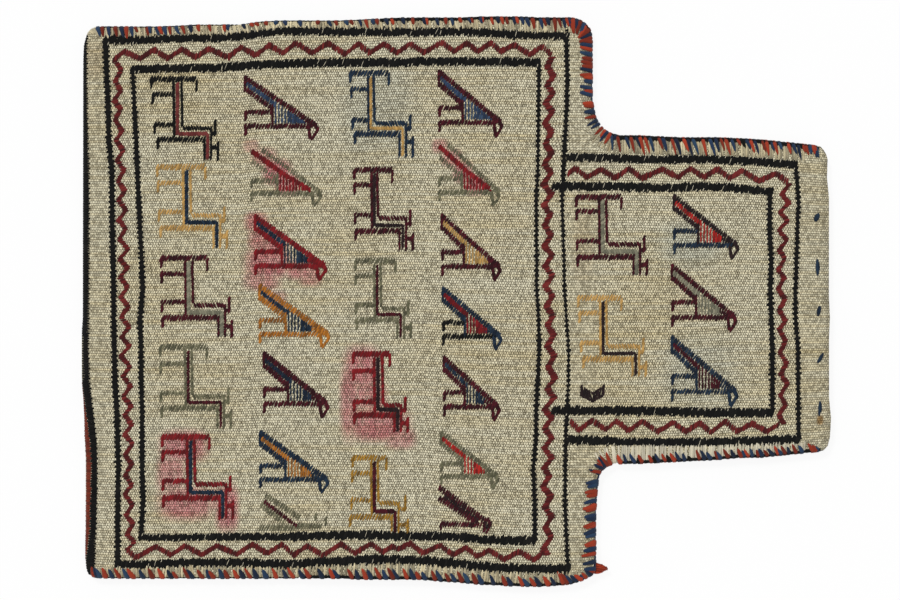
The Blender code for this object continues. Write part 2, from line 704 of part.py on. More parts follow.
def make_figures(field, figures, collection):
    """Each figure as one flat piece in its own place in the field."""
    for name, outline, colour, *shares in figures:
        left, upper, width, height = field.box(shares)
        loop = [(left + u * width, upper - v * height) for u, v in OUTLINES[outline]]
        flat_piece(name, [loop], FIGURE_HEIGHT, colour, collection)


def fold_section(start, end, flat):
    """The section of a stripe that lies round the fold, from one angle below the top to another."""
    inner = FOLD_RADIUS + RAISE_CLEARANCE
    outer = inner + FOLD_STRIPE_THICKNESS
    steps = FOLD_STEPS
    angles = [start + (end - start) * i / steps for i in range(steps + 1)]
    arc = [(-outer * math.sin(a), outer * math.cos(a)) for a in angles]
    arc += [(-inner * math.sin(a), inner * math.cos(a)) for a in reversed(angles)]
    if flat:
        arc = [(flat, outer)] + arc + [(flat, inner)]
    return arc


def make_fold_stripe(name, start, end, flat, colour, collection):
    """A woven stripe round the fold, as long as the fold's full roundness."""
    data = bpy.data.curves.new(name, "CURVE")
    data.dimensions = "2D"
    data.fill_mode = "BOTH"
    data.extrude = FOLD_WIDTH / 2 - BACK_MARGIN
    spline = data.splines.new("POLY")
    section = fold_section(start, end, flat)
    spline.points.add(len(section) - 1)
    for point, place in zip(spline.points, section):
        point.co = (place[0], place[1], 0.0, 1.0)
    spline.use_cyclic_u = True
    item = add_object(name, data, colour, collection)
    item.location = (FOLD_LINE_X, 0.0, SEAM_MIDDLE)
    item.rotation_euler.x = math.pi / 2


def make_mouth_stitches(collection):
    """The short blue stitches in a row along the mouth."""
    x = MOUTH_X - MOUTH_STITCH_FROM_EDGE
    for k in range(MOUTH_STITCHES):
        middle = MOUTH_STITCHES_MIDDLE_Y + (k - (MOUTH_STITCHES - 1) / 2) * MOUTH_STITCH_PITCH
        half_length = MOUTH_STITCH_LENGTH / 2 - MOUTH_STITCH_WIDTH / 2
        loop = []
        for end in (1, -1):
            for step in range(ARC_STEPS + 1):
                angle = math.pi * step / ARC_STEPS
                across = MOUTH_STITCH_WIDTH / 2 * math.cos(angle) * end
                along = half_length + MOUTH_STITCH_WIDTH / 2 * math.sin(angle)
                loop.append((x + across, middle + end * along))
        flat_piece("mouth_stitch_%d" % (k + 1), [loop], LINE_HEIGHT, SEAM_BLUE, collection)


def make_tuft(gap, collection):
    """The loose end of red yarn that stands out from the lower shoulder."""
    corner = Vector((SHOULDER_X, side_y(-1, SHOULDER_X)))
    way = Vector((1.0, -1.0)).normalized()
    middle = corner + Vector((-SHOULDER_RADIUS, SHOULDER_RADIUS))
    start = middle + way * (SHOULDER_RADIUS + gap + TUFT_SEAT)
    data = bpy.data.curves.new("loose_yarn_end", "CURVE")
    data.dimensions = "3D"
    data.bevel_depth = TUFT_RADIUS
    data.bevel_resolution = 2
    data.use_fill_caps = True
    spline = data.splines.new("POLY")
    steps = 4
    spline.points.add(steps)
    for i in range(steps + 1):
        share = i / steps
        place = start + way * (TUFT_LENGTH * share) + Vector((0.0, TUFT_LENGTH * 0.35 * share * share))
        spline.points[i].co = (place.x, place.y, SEAM_MIDDLE, 1.0)
        spline.points[i].radius = 0.55 + 0.45 * math.sin(math.pi * (0.2 + 0.75 * share))
    add_object("loose_yarn_end", data, SEAM_RED, collection)


def make_seams(collection):
    """Two overcast yarns on each side, blue next to the cloth and red outside it, half a pitch apart."""
    blue_gap = RIM_LEAN + SEAM_CLEARANCE
    red_gap = blue_gap + SEAM_YARN + SEAM_CLEARANCE
    start = SEAM_START + STITCH_WIDTH
    for side, word in ((1, "upper"), (-1, "lower")):
        make_seam_yarn(word + "_seam_blue_yarn", side, blue_gap, start, SEAM_BLUE, collection)
        make_seam_yarn(word + "_seam_red_yarn", side, red_gap, start + STITCH_PITCH / 2, SEAM_RED, collection)
    make_tuft(red_gap + SEAM_YARN + SEAM_CLEARANCE, collection)


def main():
    """Builds the bag in a collection of its own."""
    clear_scene()
    bag = bpy.data.collections.new("salt_bag")
    bpy.context.scene.collection.children.link(bag)
    make_cloth(bag)
    make_seams(bag)
    make_borders(bag)
    make_fold_stripe("fold_black_stripe", 0.0, BLACK_STRIPE_ENDS_AT, BLACK_STRIPE_FLAT, BLACK, bag)
    make_fold_stripe("fold_red_stripe", RED_STRIPE_STARTS_AT, RED_STRIPE_ENDS_AT, 0.0, SEAM_RED, bag)
    make_mouth_stitches(bag)
    make_figures(body_field(), BODY_FIGURES, bag)
    make_figures(neck_field(), NECK_FIGURES, bag)


main()
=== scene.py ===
"""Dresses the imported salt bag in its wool: the folded cloth, its sewn sides, its borders and its figures.

The bag lies on its back. +X runs from the fold to the mouth, +Y across the bag, +Z up through its front.
Places on the cloth are given on a weaver's chart, in squares of 0.75 mm counted from the upper left.
"""

import functools
import logging
import math
from dataclasses import dataclass, field
from enum import Enum
from typing import ClassVar, Iterable, Sequence

import bmesh
import bpy
import numpy as np
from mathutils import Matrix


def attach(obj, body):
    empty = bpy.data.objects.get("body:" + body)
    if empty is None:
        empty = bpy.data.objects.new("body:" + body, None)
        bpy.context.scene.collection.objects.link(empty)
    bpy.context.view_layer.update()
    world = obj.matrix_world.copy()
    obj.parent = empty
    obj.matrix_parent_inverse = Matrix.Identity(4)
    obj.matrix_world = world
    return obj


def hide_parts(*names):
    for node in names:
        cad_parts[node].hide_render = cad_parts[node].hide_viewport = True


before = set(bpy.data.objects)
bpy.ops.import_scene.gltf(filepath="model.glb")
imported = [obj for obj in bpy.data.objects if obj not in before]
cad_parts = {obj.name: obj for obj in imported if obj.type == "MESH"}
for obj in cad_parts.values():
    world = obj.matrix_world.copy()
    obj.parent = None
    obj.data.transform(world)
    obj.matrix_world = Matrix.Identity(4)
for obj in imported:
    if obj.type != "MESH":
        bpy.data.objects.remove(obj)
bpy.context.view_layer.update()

LOG = logging.getLogger("salt_bag")

SQUARE = 0.00075
CHART_MIDDLE = (455.5, 301.5)
FLOOR_HEIGHT = -0.0006
FIRST_FIGURE_SEED = 100
UP = (0.0, 0.0, 1.0)
DOWN = (0.0, 0.0, -1.0)

Colour = tuple[float, float, float]


def chart_x(squares: float | np.ndarray) -> float | np.ndarray:
    """Metres along the bag for a place on the chart."""
    return (np.asarray(squares, float) - CHART_MIDDLE[0]) * SQUARE


def chart_y(squares: float | np.ndarray) -> float | np.ndarray:
    """Metres across the bag for a place on the chart."""
    return (CHART_MIDDLE[1] - np.asarray(squares, float)) * SQUARE


def chart_point(x: float, y: float, height: float) -> tuple[float, float, float]:
    """The point at that height over a place on the chart, in metres."""
    return float(chart_x(x)), float(chart_y(y)), height


def smooth(value: np.ndarray) -> np.ndarray:
    """An even rise from 0 to 1, clipped at both ends."""
    t = np.clip(value, 0.0, 1.0)
    return t * t * (3 - 2 * t)


def screen(red: int, green: int, blue: int) -> Colour:
    """The linear colour that shows as this red, green and blue."""
    shown = [c / 255 for c in (red, green, blue)]
    return tuple(c / 12.92 if c <= 0.04045 else ((c + 0.055) / 1.055) ** 2.4 for c in shown)


def deselect_all() -> None:
    """Leaves object mode with nothing selected."""
    if bpy.context.object and bpy.context.object.mode != "OBJECT":
        bpy.ops.object.mode_set(mode="OBJECT")
    bpy.ops.object.select_all(action="DESELECT")


def placed(mesh: bpy.types.Mesh, material: bpy.types.Material) -> bpy.types.Object:
    """Turns a mesh's faces outwards, gives it its material and puts it in the scene as a piece.

    Args:
        mesh: The mesh, named as the piece is to be.
        material: Its one material.

    Returns:
        The piece.
    """
    work = bmesh.new()
    work.from_mesh(mesh)
    bmesh.ops.recalc_face_normals(work, faces=work.faces)
    open_edges = sum(1 for edge in work.edges if len(edge.link_faces) != 2)
    work.to_mesh(mesh)
    work.free()
    mesh.shade_smooth()
    mesh.materials.append(material)
    piece = bpy.data.objects.new(mesh.name, mesh)
    bpy.context.scene.collection.objects.link(piece)
    triangles = sum(len(face.vertices) - 2 for face in mesh.polygons)
    LOG.info("%s: %d triangles, %d open edges", mesh.name, triangles, open_edges)
    return piece


# The chart's lines: where the outline of the sewn bag runs

@dataclass(frozen=True)
class ChartLine:
    """A line drawn on the chart through its points, read by the first number of each."""

    points: tuple[tuple[float, float], ...]

    def read(self, place: float | np.ndarray) -> np.ndarray:
        """The second number where the first is at the place."""
        keys, values = zip(*self.points)
        return np.interp(place, keys, values)


UPPER_SIDE = ChartLine((
    (83, 27), (94, 26), (160, 26), (200, 24), (240, 24), (260, 21), (280, 20), (340, 20), (360, 19), (380, 18),
    (400, 17), (460, 17), (480, 16), (520, 16), (540, 17), (570, 17), (640, 17),
))
LOWER_SIDE = ChartLine((
    (83, 577), (94, 578), (120, 579), (340, 579), (360, 580), (420, 580), (440, 582), (460, 583), (480, 585),
    (500, 586), (520, 587), (640, 587),
))
NECK_UPPER = ChartLine((
    (592, 98), (595, 112), (597, 118), (600, 123), (605, 129), (610, 132), (615, 134), (620, 135), (640, 135),
    (660, 136), (680, 137), (720, 137), (740, 138), (760, 139), (780, 141), (800, 143), (832, 145.4),
))
NECK_LOWER = ChartLine((
    (596, 518), (597, 498), (599, 478), (603, 471), (607, 467.5), (610, 466), (615, 464), (640, 464),
    (660, 463), (680, 462), (700, 461), (720, 460), (740, 458), (760, 458), (780, 456), (800, 454), (832, 452),
))
FOLD_EDGE = ChartLine((
    (26, 97), (28, 91.5), (30, 89), (36, 86), (45, 83.6), (58, 83), (318, 82.5), (338, 81), (378, 81), (398, 83),
    (418, 84), (438, 84), (458, 85), (558, 85), (568, 85.7), (573, 87.5), (576, 92), (578, 97),
))
# Where each row starts past the round of the fold
FOLD_STARTS = ChartLine((
    (26, 103), (28, 98), (30, 95), (36, 91.5), (45, 89.5), (58, 89), (555, 89), (568, 90.5), (573, 93), (576, 98),
    (578, 103),
))
# The ends of the body's rows, from the upper corner of the shoulder to the armpit, and the same below
SHOULDER_ENDS = ChartLine((
    (16, 572), (17, 576), (19, 580), (22, 585), (27, 589.5), (33, 592), (40, 592.6), (98, 592.6), (112, 595),
    (118, 597), (123, 600), (129, 605), (132, 610), (134, 615), (136, 620), (142, 611), (152, 601), (170, 594),
    (200, 592.6), (400, 592.6), (440, 594), (450, 598), (458, 603), (464, 612), (467, 607.5), (471, 603),
    (478, 599), (498, 597), (518, 596), (558, 596), (568, 595), (573, 593), (577, 588), (581, 581), (584, 574),
    (587, 560),
))
MOUTH_ENDS = ChartLine((
    (145, 816), (148, 821), (151, 824), (155, 826.5), (160, 828), (178, 827), (198, 829), (298, 829), (318, 830),
    (338, 829), (398, 829), (418, 831), (438, 830), (446, 828), (450, 824), (453, 818),
))
# The two sewn sides as they are seen, from the corner at the fold to the corner at the mouth
UPPER_OUTLINE = (
    (82.5, 60), (82.8, 45), (85, 36), (88, 30), (92, 27.2), (97, 26), *UPPER_SIDE.points[2:-1],
    (576, 18), (581, 19.7), (586, 23), (589.8, 27.5), (592, 33), (592.7, 40), (592.6, 98), *NECK_UPPER.points[1:-1],
    (816, 145), (822, 147.5), (826, 151.5), (828, 157), (828, 166),
)
LOWER_OUTLINE = (
    (85, 556), (85.5, 568), (87.5, 574), (92, 577.3), (98, 578.3), *LOWER_SIDE.points[2:-1],
    (540, 587), (560, 586), (572, 584.5), (584, 580.5), (592, 576.5), (595.5, 572), (596.3, 565), (596, 518),
    (597, 498), (599, 478), (602, 471.5), (606, 467.7), (610, 466), (615, 464.4), *NECK_LOWER.points[7:-1],
    (818, 452.2), (824, 451), (828, 447.5), (829.5, 440),
)


class SeamLine:
    """One sewn side as a line of points a square apart, each with the way inwards."""

    def __init__(self, outline: tuple[tuple[float, float], ...], inset: float) -> None:
        """Follows the outline, moved in by the inset, and smooths its corners.

        Args:
            outline: The side's corners on the chart.
            inset: How far in the line lies, in squares.
        """
        corners = np.array(outline, float)
        steps = np.linalg.norm(np.diff(corners, axis=0), axis=1)
        along = np.concatenate([[0.0], np.cumsum(steps)])
        marks = np.arange(0.0, along[-1], 1.0)
        line = np.stack([np.interp(marks, along, corners[:, k]) for k in (0, 1)], 1)
        for _ in range(3):
            line[1:-1] = line[:-2] * 0.25 + line[1:-1] * 0.5 + line[2:] * 0.25
        ahead = np.gradient(line, axis=0)
        for _ in range(6):
            ahead[1:-1] = ahead[:-2] * 0.25 + ahead[1:-1] * 0.5 + ahead[2:] * 0.25
        ahead /= np.linalg.norm(ahead, axis=1)[:, None]
        inward = np.stack([-ahead[:, 1], ahead[:, 0]], 1)
        quarter = len(line) // 4
        if inward[quarter] @ (np.array(CHART_MIDDLE) - line[quarter]) < 0:
            inward = -inward
        self.line = line + inward * inset
        self.ahead = ahead
        self.inward = inward

    def nearest(self, x: float, y: float) -> int:
        """The number of the point nearest to a place."""
        return int(np.argmin(np.hypot(self.line[:, 0] - x, self.line[:, 1] - y)))

    def away(self, x: np.ndarray, y: np.ndarray) -> np.ndarray:
        """How far places lie from the line.

        Args:
            x: The places along the chart.
            y: The places across the chart.

        Returns:
            The distances in squares.
        """
        flat = np.stack([np.ravel(x), np.ravel(y)], 1)
        best = np.full(len(flat), 1e9)
        for start in range(0, len(self.line), 4):
            best = np.minimum(best, np.hypot(*(flat - self.line[start]).T))
        return best.reshape(np.shape(x))


@dataclass(frozen=True)
class BagShape:
    """The shape of the sewn bag as it lies: its outline and the heights of its two faces."""

    grid_start: ClassVar[tuple[float, float]] = (74.0, 8.0)
    grid_end: ClassVar[tuple[float, float]] = (842.0, 598.0)
    grid_step: ClassVar[float] = 2.0

    top: float = 0.0089
    ply: float = 0.0022
    edge_drop: float = 0.0021
    front_roll: float = 0.0105
    back_roll: float = 0.0140
    ripple: float = 0.00022
    seam_inset: float = 1.7
    fold_line: float = 89.0
    shoulder: float = 592.6
    mouth: float = 829.0

    @property
    def middle(self) -> float:
        """Half the bag's thickness, where the plies meet along the seams."""
        return self.top / 2

    def __post_init__(self) -> None:
        """Measures once how far every square lies from the sewn sides."""
        object.__setattr__(self, "upper", SeamLine(UPPER_OUTLINE, self.seam_inset))
        object.__setattr__(self, "lower", SeamLine(LOWER_OUTLINE, self.seam_inset))
        x, y = np.meshgrid(*(np.arange(a, b, self.grid_step) for a, b in zip(self.grid_start, self.grid_end)))
        away = np.minimum(self.upper.away(x, y), self.lower.away(x, y))
        object.__setattr__(self, "squares_in", away)

    def inside(self, x: np.ndarray, y: np.ndarray) -> np.ndarray:
        """How far places on the chart lie from the sewn sides, in metres.

        Args:
            x: The places along the chart.
            y: The places across the chart.

        Returns:
            The distances.
        """
        grid = self.squares_in
        left, top = self.grid_start
        across = np.clip((np.asarray(x, float) - left) / self.grid_step, 0, grid.shape[1] - 1.001)
        down = np.clip((np.asarray(y, float) - top) / self.grid_step, 0, grid.shape[0] - 1.001)
        i, j = across.astype(int), down.astype(int)
        s, t = across - i, down - j
        low = grid[j, i] * (1 - s) + grid[j, i + 1] * s
        high = grid[j + 1, i] * (1 - s) + grid[j + 1, i + 1] * s
        return (low * (1 - t) + high * t) * SQUARE

    def front(self, x: np.ndarray, y: np.ndarray) -> np.ndarray:
        """The height of the front's face at places on the chart.

        Args:
            x: The places along the chart.
            y: The places across the chart.

        Returns:
            The heights in metres.
        """
        x, y = np.asarray(x, float), np.asarray(y, float)
        inside = self.inside(x, y)
        fall = self.edge_drop * (1 - np.clip(inside / self.front_roll, 0, 1)) ** 2
        waves = np.sin(x / 31 + y / 57) + np.sin(y / 39 - x / 83 + 1.3) + 0.6 * np.sin(x / 17 - y / 23 + 0.4)
        calm = smooth(inside / 0.016) * smooth((x - self.fold_line) / 14)
        height = self.top - fall + self.ripple * waves * calm
        radius = self.middle - fall
        past = np.clip((self.fold_line - x) * SQUARE / radius, 0, 1)
        return np.where(x < self.fold_line, self.middle + radius * np.sqrt(1 - past * past), height)

    def back(self, x: np.ndarray, y: np.ndarray) -> np.ndarray:
        """The height of the back's face at places on the chart."""
        return self.edge_drop * (1 - np.clip(self.inside(x, y) / self.back_roll, 0, 1)) ** 2


# Shader work

class Signal:
    """A number in a material that can be worked with as numbers are."""

    def __init__(self, graph: "Graph", socket: bpy.types.NodeSocket) -> None:
        """Keeps the socket and the graph that it belongs to."""
        self.graph = graph
        self.socket = socket

    def _work(self, kind: str, *values: object) -> "Signal":
        """A Math node of that kind on the values."""
        node = self.graph.node("ShaderNodeMath", {"operation": kind}, dict(enumerate(values)))
        return Signal(self.graph, node.outputs[0])

    def __add__(self, other: object) -> "Signal":
        """This and the other, added."""
        return self._work("ADD", self, other)

    __radd__ = __add__

    def __sub__(self, other: object) -> "Signal":
        """This less the other."""
        return self._work("SUBTRACT", self, other)

    def __rsub__(self, other: object) -> "Signal":
        """The other less this."""
        return self._work("SUBTRACT", other, self)

    def __mul__(self, other: object) -> "Signal":
        """This times the other."""
        return self._work("MULTIPLY", self, other)

    def __truediv__(self, other: object) -> "Signal":
        """This divided by the other."""
        return self._work("DIVIDE", self, other)

    def __pow__(self, other: object) -> "Signal":
        """This to the power of the other."""
        return self._work("POWER", self, other)

    def floor(self) -> "Signal":
        """The whole number below."""
        return self._work("FLOOR", self)

    def part(self) -> "Signal":
        """What stands above the whole number below."""
        return self._work("FRACT", self)

    def size(self) -> "Signal":
        """The number without its sign."""
        return self._work("ABSOLUTE", self)

    def larger(self, other: object) -> "Signal":
        """The larger of this and the other."""
        return self._work("MAXIMUM", self, other)

    def smaller(self, other: object) -> "Signal":
        """The smaller of this and the other."""
        return self._work("MINIMUM", self, other)

    def rise(self, start: float, end: float) -> "Signal":
        """An even rise from 0 at the start to 1 at the end.

        Args:
            start: Where it is still 0.
            end: Where it is 1.

        Returns:
            The rise.
        """
        node = self.graph.node(
            "ShaderNodeMapRange",
            {"interpolation_type": "SMOOTHSTEP", "clamp": True},
            {0: self, 1: start, 2: end, 3: 0.0, 4: 1.0},
        )
        return Signal(self.graph, node.outputs[0])


class Graph:
    """The nodes of one material, with a Principled shader at their end, or of the studio's floor or world."""

    def __init__(self, name: str, owner: bpy.types.ID | None = None) -> None:
        """Makes the material, or clears the nodes of the owner.

        Args:
            name: The material's name.
            owner: A material or world whose nodes are made anew.
        """
        self.material = owner or bpy.data.materials.new(name)
        self.material.use_nodes = True
        self.tree = self.material.node_tree
        self.shader = None if owner else self.tree.nodes["Principled BSDF"]
        if owner:
            self.tree.nodes.clear()

    def node(self, kind: str, settings: dict[str, object], inputs: dict[object, object]) -> bpy.types.Node:
        """One node.

        Args:
            kind: The node's type.
            settings: Its own settings by name.
            inputs: Its inputs by name or place: a value, a Signal or a socket.

        Returns:
            The node.
        """
        made = self.tree.nodes.new(kind)
        for name, value in settings.items():
            setattr(made, name, value)
        for name, value in inputs.items():
            self.join(made.inputs[name], value)
        return made

    def join(self, target: bpy.types.NodeSocket, value: object) -> None:
        """Links a Signal or a socket to the target, or sets a plain value on it.

        Args:
            target: The input.
            value: What goes in.
        """
        if isinstance(value, Signal):
            self.tree.links.new(value.socket, target)
        elif isinstance(value, bpy.types.NodeSocket):
            self.tree.links.new(value, target)
        else:
            target.default_value = value

    def mix(self, share: object, first: object, second: object, blend: str = "MIX") -> bpy.types.NodeSocket:
        """Two colours mixed by a share.

        Args:
            share: The share of the second.
            first: The first colour.
            second: The second colour.
            blend: How they are mixed.

        Returns:
            The mixed colour.
        """
        made = self.tree.nodes.new("ShaderNodeMix")
        made.data_type = "RGBA"
        made.blend_type = blend
        made.clamp_factor = True
        for name, value in (("Factor_Float", share), ("A_Color", first), ("B_Color", second)):
            socket = next(s for s in made.inputs if s.identifier == name)
            self.join(socket, (*value, 1.0) if isinstance(value, tuple) and len(value) == 3 else value)
        return next(s for s in made.outputs if s.identifier == "Result_Color")

    def noise(self, where: object, scale: float, detail: float = 2.0, roughness: float = 0.5) -> Signal:
        """Soft noise at the places, about 0.5 on average.

        Args:
            where: The places.
            scale: How fine it is.
            detail: Its finer layers.
            roughness: How strong those are.

        Returns:
            The noise.
        """
        made = self.node(
            "ShaderNodeTexNoise", {}, {"Vector": where, "Scale": scale, "Detail": detail, "Roughness": roughness}
        )
        return Signal(self, made.outputs["Fac"])

    def stretched(self, where: object, scale: tuple[float, float, float]) -> bpy.types.NodeSocket:
        """The places scaled by three numbers."""
        return self.node("ShaderNodeVectorMath", {"operation": "MULTIPLY"}, {0: where, 1: scale}).outputs[0]

    def bump(self, height: object, strength: float, distance: float) -> None:
        """Raises the surface by the height."""
        made = self.node("ShaderNodeBump", {}, {"Height": height, "Strength": strength, "Distance": distance})
        self.join(self.shader.inputs["Normal"], made.outputs["Normal"])


@dataclass(frozen=True)
class WoolYarn:
    """A finish: dyed wool yarn, wrapped or sewn."""

    name: str
    slot: str
    colour: Colour
    worn: Colour
    wear: float = 0.35
    contrast: float = 0.55
    rough: float = 0.86
    sheen: float = 0.12
    spread: float = 1.0

    def material(self) -> bpy.types.Material:
        """The yarn's material, made once.

        Returns:
            The material.
        """
        known = bpy.data.materials.get(self.name)
        if known:
            return known
        graph = Graph(self.name)
        place = graph.node("ShaderNodeTexCoord", {}, {}).outputs["Object"]
        shade = Signal(graph, graph.node("ShaderNodeAttribute", {"attribute_name": "shade"}, {}).outputs["Fac"])
        fibre = graph.noise(graph.stretched(place, (1.0, 0.55, 1.0)), 2600.0, 2.0, 0.6)
        patch = graph.noise(place, 90.0, 3.0, 0.55)
        tone = 1.0 + (shade - 0.5) * self.contrast + (fibre - 0.5) * 0.55
        wear = ((patch - 0.42) * 2.2 + (shade - 0.5) * 0.6).rise(0.0, 1.0) * self.wear
        colour = graph.mix(wear, self.colour, self.worn)
        level = graph.node("ShaderNodeCombineXYZ", {}, {0: tone, 1: tone, 2: tone}).outputs[0]
        lit = graph.node("ShaderNodeVectorMath", {"operation": "MULTIPLY"}, {0: colour, 1: level}).outputs[0]
        graph.join(graph.shader.inputs["Base Color"], lit)
        graph.join(graph.shader.inputs["Roughness"], (fibre * 0.2 + (self.rough - 0.1)).smaller(1.0))
        graph.shader.inputs["Sheen Weight"].default_value = self.sheen
        graph.shader.inputs["Sheen Roughness"].default_value = 0.6
        graph.shader.inputs["Specular IOR Level"].default_value = 0.18
        graph.bump(fibre, 0.5, 0.0003)
        return graph.material


@dataclass(frozen=True)
class DyeRun:
    """A place on the cloth where red dye has run: its middle, its reach along and across, and its strength."""

    x: float
    y: float
    along: float
    across: float
    strength: float


@dataclass(frozen=True)
class PlainWeave:
    """A finish: the plain woven ground, with rows of small staggered crowns between dark gaps, a painted highlight on
    the crowns and painted shade in the gaps as well as bumps.
    """

    name: str
    # crown is the painted highlight colour of each crown, shadow the painted shade colour of the gaps
    crown: Colour
    shadow: Colour
    warm: Colour
    brown: Colour
    dye: Colour
    stain: Colour
    blued: Colour
    row_pitch: float
    crown_pitch: float
    runs: tuple[DyeRun, ...]
    stains: tuple[DyeRun, ...]
    blues: tuple[DyeRun, ...]
    plain_bands: tuple[tuple[float, float], ...] = ((60, 106), (571, 598), (801, 850))

    def material(self) -> bpy.types.Material:
        """The ground's material.

        Returns:
            The material.
        """
        graph = Graph(self.name)
        woven = graph.node("ShaderNodeUVMap", {"uv_map": "woven"}, {}).outputs["UV"]
        axes = graph.node("ShaderNodeSeparateXYZ", {}, {0: woven})
        along, across = Signal(graph, axes.outputs[0]), Signal(graph, axes.outputs[1])
        place = graph.node("ShaderNodeTexCoord", {}, {}).outputs["Object"]
        spot = graph.node("ShaderNodeSeparateXYZ", {}, {0: place})
        x = Signal(graph, spot.outputs[0])
        wander = graph.noise(woven, 260.0, 2.0, 0.5)
        shake = graph.noise(woven, 620.0, 1.0, 0.5)
        row = across / self.row_pitch + 0.5 + (shake - 0.5) * 0.34
        index = row.floor()
        turn = (index * 0.5).part()
        step = along / self.crown_pitch + turn + (wander - 0.5) * 1.3 + (shake - 0.5) * 0.5
        over = ((step.part() - 0.5) * 2.0).size()
        down = ((row.part() - 0.5) * 2.0).size()
        plain = self._plain(graph, x)
        # Crown and rib paint light and shade: lighter on each crown, painted shade in the gaps between crowns and
        # between rows
        crown = 1.0 - (over ** 2.0) * (1.0 - plain * 0.35)
        rib = 1.0 - (down ** 2.4) * 0.74
        lump = (crown * rib).larger(0.0)
        grain = graph.noise(graph.stretched(woven, (1.0, 1.5, 1.0)), 1350.0, 2.0, 0.7)
        cell = graph.node("ShaderNodeCombineXYZ", {}, {0: step.floor(), 1: index, 2: 0.0}).outputs[0]
        chance = graph.node("ShaderNodeTexWhiteNoise", {"noise_dimensions": "2D"}, {"Vector": cell})
        fleck = Signal(graph, chance.outputs["Value"])
        clump = graph.noise(graph.stretched(woven, (1.0, 1.7, 1.0)), 420.0, 2.0, 0.6)
        level = lump * (0.60 + fleck * 0.74) + (grain - 0.5) * 1.05 + (clump - 0.5) * 0.5 - plain * 0.12
        level = level + (0.5 - level) * plain * 0.3
        level = level.rise(-0.01, 1.0)
        # Painted highlight on the crowns and painted shade in the gaps, with random flecks and grain mixed in
        base = graph.mix(level, self.shadow, self.crown)
        streak = graph.noise(graph.stretched(woven, (5.0, 160.0, 1.0)), 1.6, 3.0, 0.6)
        cloud = graph.noise(place, 11.0, 3.0, 0.55)
        warmth = ((streak - 0.5) * 1.5 + (cloud - 0.5) * 1.1 + 0.42).rise(0.1, 1.0)
        toned = graph.mix(warmth * 0.65, base, self.warm, "MULTIPLY")
        hair = (graph.noise(graph.stretched(woven, (1.0, 2.0, 1.0)), 760.0, 2.0, 0.6) - 0.56) * 9.0
        toned = graph.mix(hair.larger(0.0).smaller(1.0) * 0.45, toned, self.brown, "MULTIPLY")
        dyed = graph.mix(self._runs(graph, place, grain, streak), toned, self.dye, "MULTIPLY")
        brown = self._strongest(graph, place, self.stains)
        blue = self._strongest(graph, place, self.blues)
        marked = graph.mix(brown, dyed, self.stain, "MULTIPLY")
        marked = graph.mix(blue, marked, self.blued, "MULTIPLY")
        graph.join(graph.shader.inputs["Base Color"], marked)
        graph.join(graph.shader.inputs["Roughness"], grain * 0.15 + 0.82)
        graph.shader.inputs["Sheen Weight"].default_value = 0.10
        graph.shader.inputs["Sheen Roughness"].default_value = 0.6
        graph.shader.inputs["Specular IOR Level"].default_value = 0.15
        graph.bump(lump * 0.8 + grain * 0.35, 0.75, 0.0006)
        return graph.material

    def _plain(self, graph: Graph, x: Signal) -> Signal:
        """1 in the margins, where the rows lie smooth, and 0 elsewhere.

        Args:
            graph: The ground's graph; not used.
            x: The place along the bag.

        Returns:
            The share of margin.
        """
        total = None
        for start, end in self.plain_bands:
            low, high = float(chart_x(start)), float(chart_x(end))
            band = x.rise(low - 0.001, low + 0.001) * (1.0 - x.rise(high - 0.001, high + 0.001))
            total = band if total is None else total + band
        return total

    def _patch(self, graph: Graph, place: object, run: DyeRun) -> Signal:
        """One soft patch, 1 in its middle.

        Args:
            graph: The ground's graph.
            place: The place in the bag.
            run: The patch.

        Returns:
            The patch's strength there.
        """
        centre = chart_point(run.x, run.y, 0.0)
        away = graph.node("ShaderNodeVectorMath", {"operation": "SUBTRACT"}, {0: place, 1: centre}).outputs[0]
        shape = (1 / (run.along * SQUARE), 1 / (run.across * SQUARE), 0.0)
        parts = graph.node("ShaderNodeSeparateXYZ", {}, {0: graph.stretched(away, shape)})
        wide, high = Signal(graph, parts.outputs[0]).size(), Signal(graph, parts.outputs[1]).size()
        far = (wide ** 3.0 + high ** 3.0) ** (1 / 3)
        return (1.0 - far.rise(0.45, 1.12)) * run.strength

    def _runs(self, graph: Graph, place: object, grain: Signal, streak: Signal) -> Signal:
        """How much red dye has run into each place.

        Args:
            graph: The ground's graph.
            place: The place in the bag.
            grain: The fine grain of the wool.
            streak: The long streaks along the rows.

        Returns:
            The share of dye.
        """
        total = self._strongest(graph, place, self.runs)
        fall = graph.noise(graph.stretched(place, (2.2, 0.5, 1.0)), 170.0, 2.0, 0.6)
        return (total * (0.2 + streak * 0.6 + fall * 0.8 + (grain - 0.5) * 1.0)).larger(0.0).smaller(1.0)

    def _strongest(self, graph: Graph, place: object, runs: tuple[DyeRun, ...]) -> Signal:
        """The strongest of a few patches at each place."""
        return functools.reduce(Signal.larger, (self._patch(graph, place, run) for run in runs))


CREAM = WoolYarn("cream_wool_yarn", "cream_wool", screen(214, 206, 182), screen(168, 156, 126), 0.5, 0.5)
BLACK = WoolYarn("black_wool_yarn", "black_wool", screen(12, 12, 11), screen(32, 29, 26), 0.25, 1.0, sheen=0.03)
MADDER = WoolYarn("madder_wool_yarn", "madder_wool", screen(86, 14, 14), screen(122, 44, 40), 0.5, 1.0)
SEAM_RED = WoolYarn("seam_red_wool_yarn", "seam_red_wool", screen(152, 50, 24), screen(104, 42, 28), 0.5, 1.0)
SEAM_BLUE = WoolYarn("seam_blue_wool_yarn", "seam_blue_wool", screen(24, 42, 70), screen(40, 70, 88), 0.45, 1.0)
MAROON = WoolYarn(
    "maroon_wool_yarn", "maroon_wool", screen(58, 6, 18), screen(92, 24, 34), 0.4, 1.0, sheen=0.07, spread=1.05
)
CRIMSON = WoolYarn("crimson_wool_yarn", "crimson_wool", screen(112, 7, 15), screen(140, 34, 40), 0.4, 0.9, spread=1.22)
GOLD = WoolYarn("gold_wool_yarn", "gold_wool", screen(188, 148, 82), screen(172, 144, 98), 0.4, 0.7, spread=0.92)
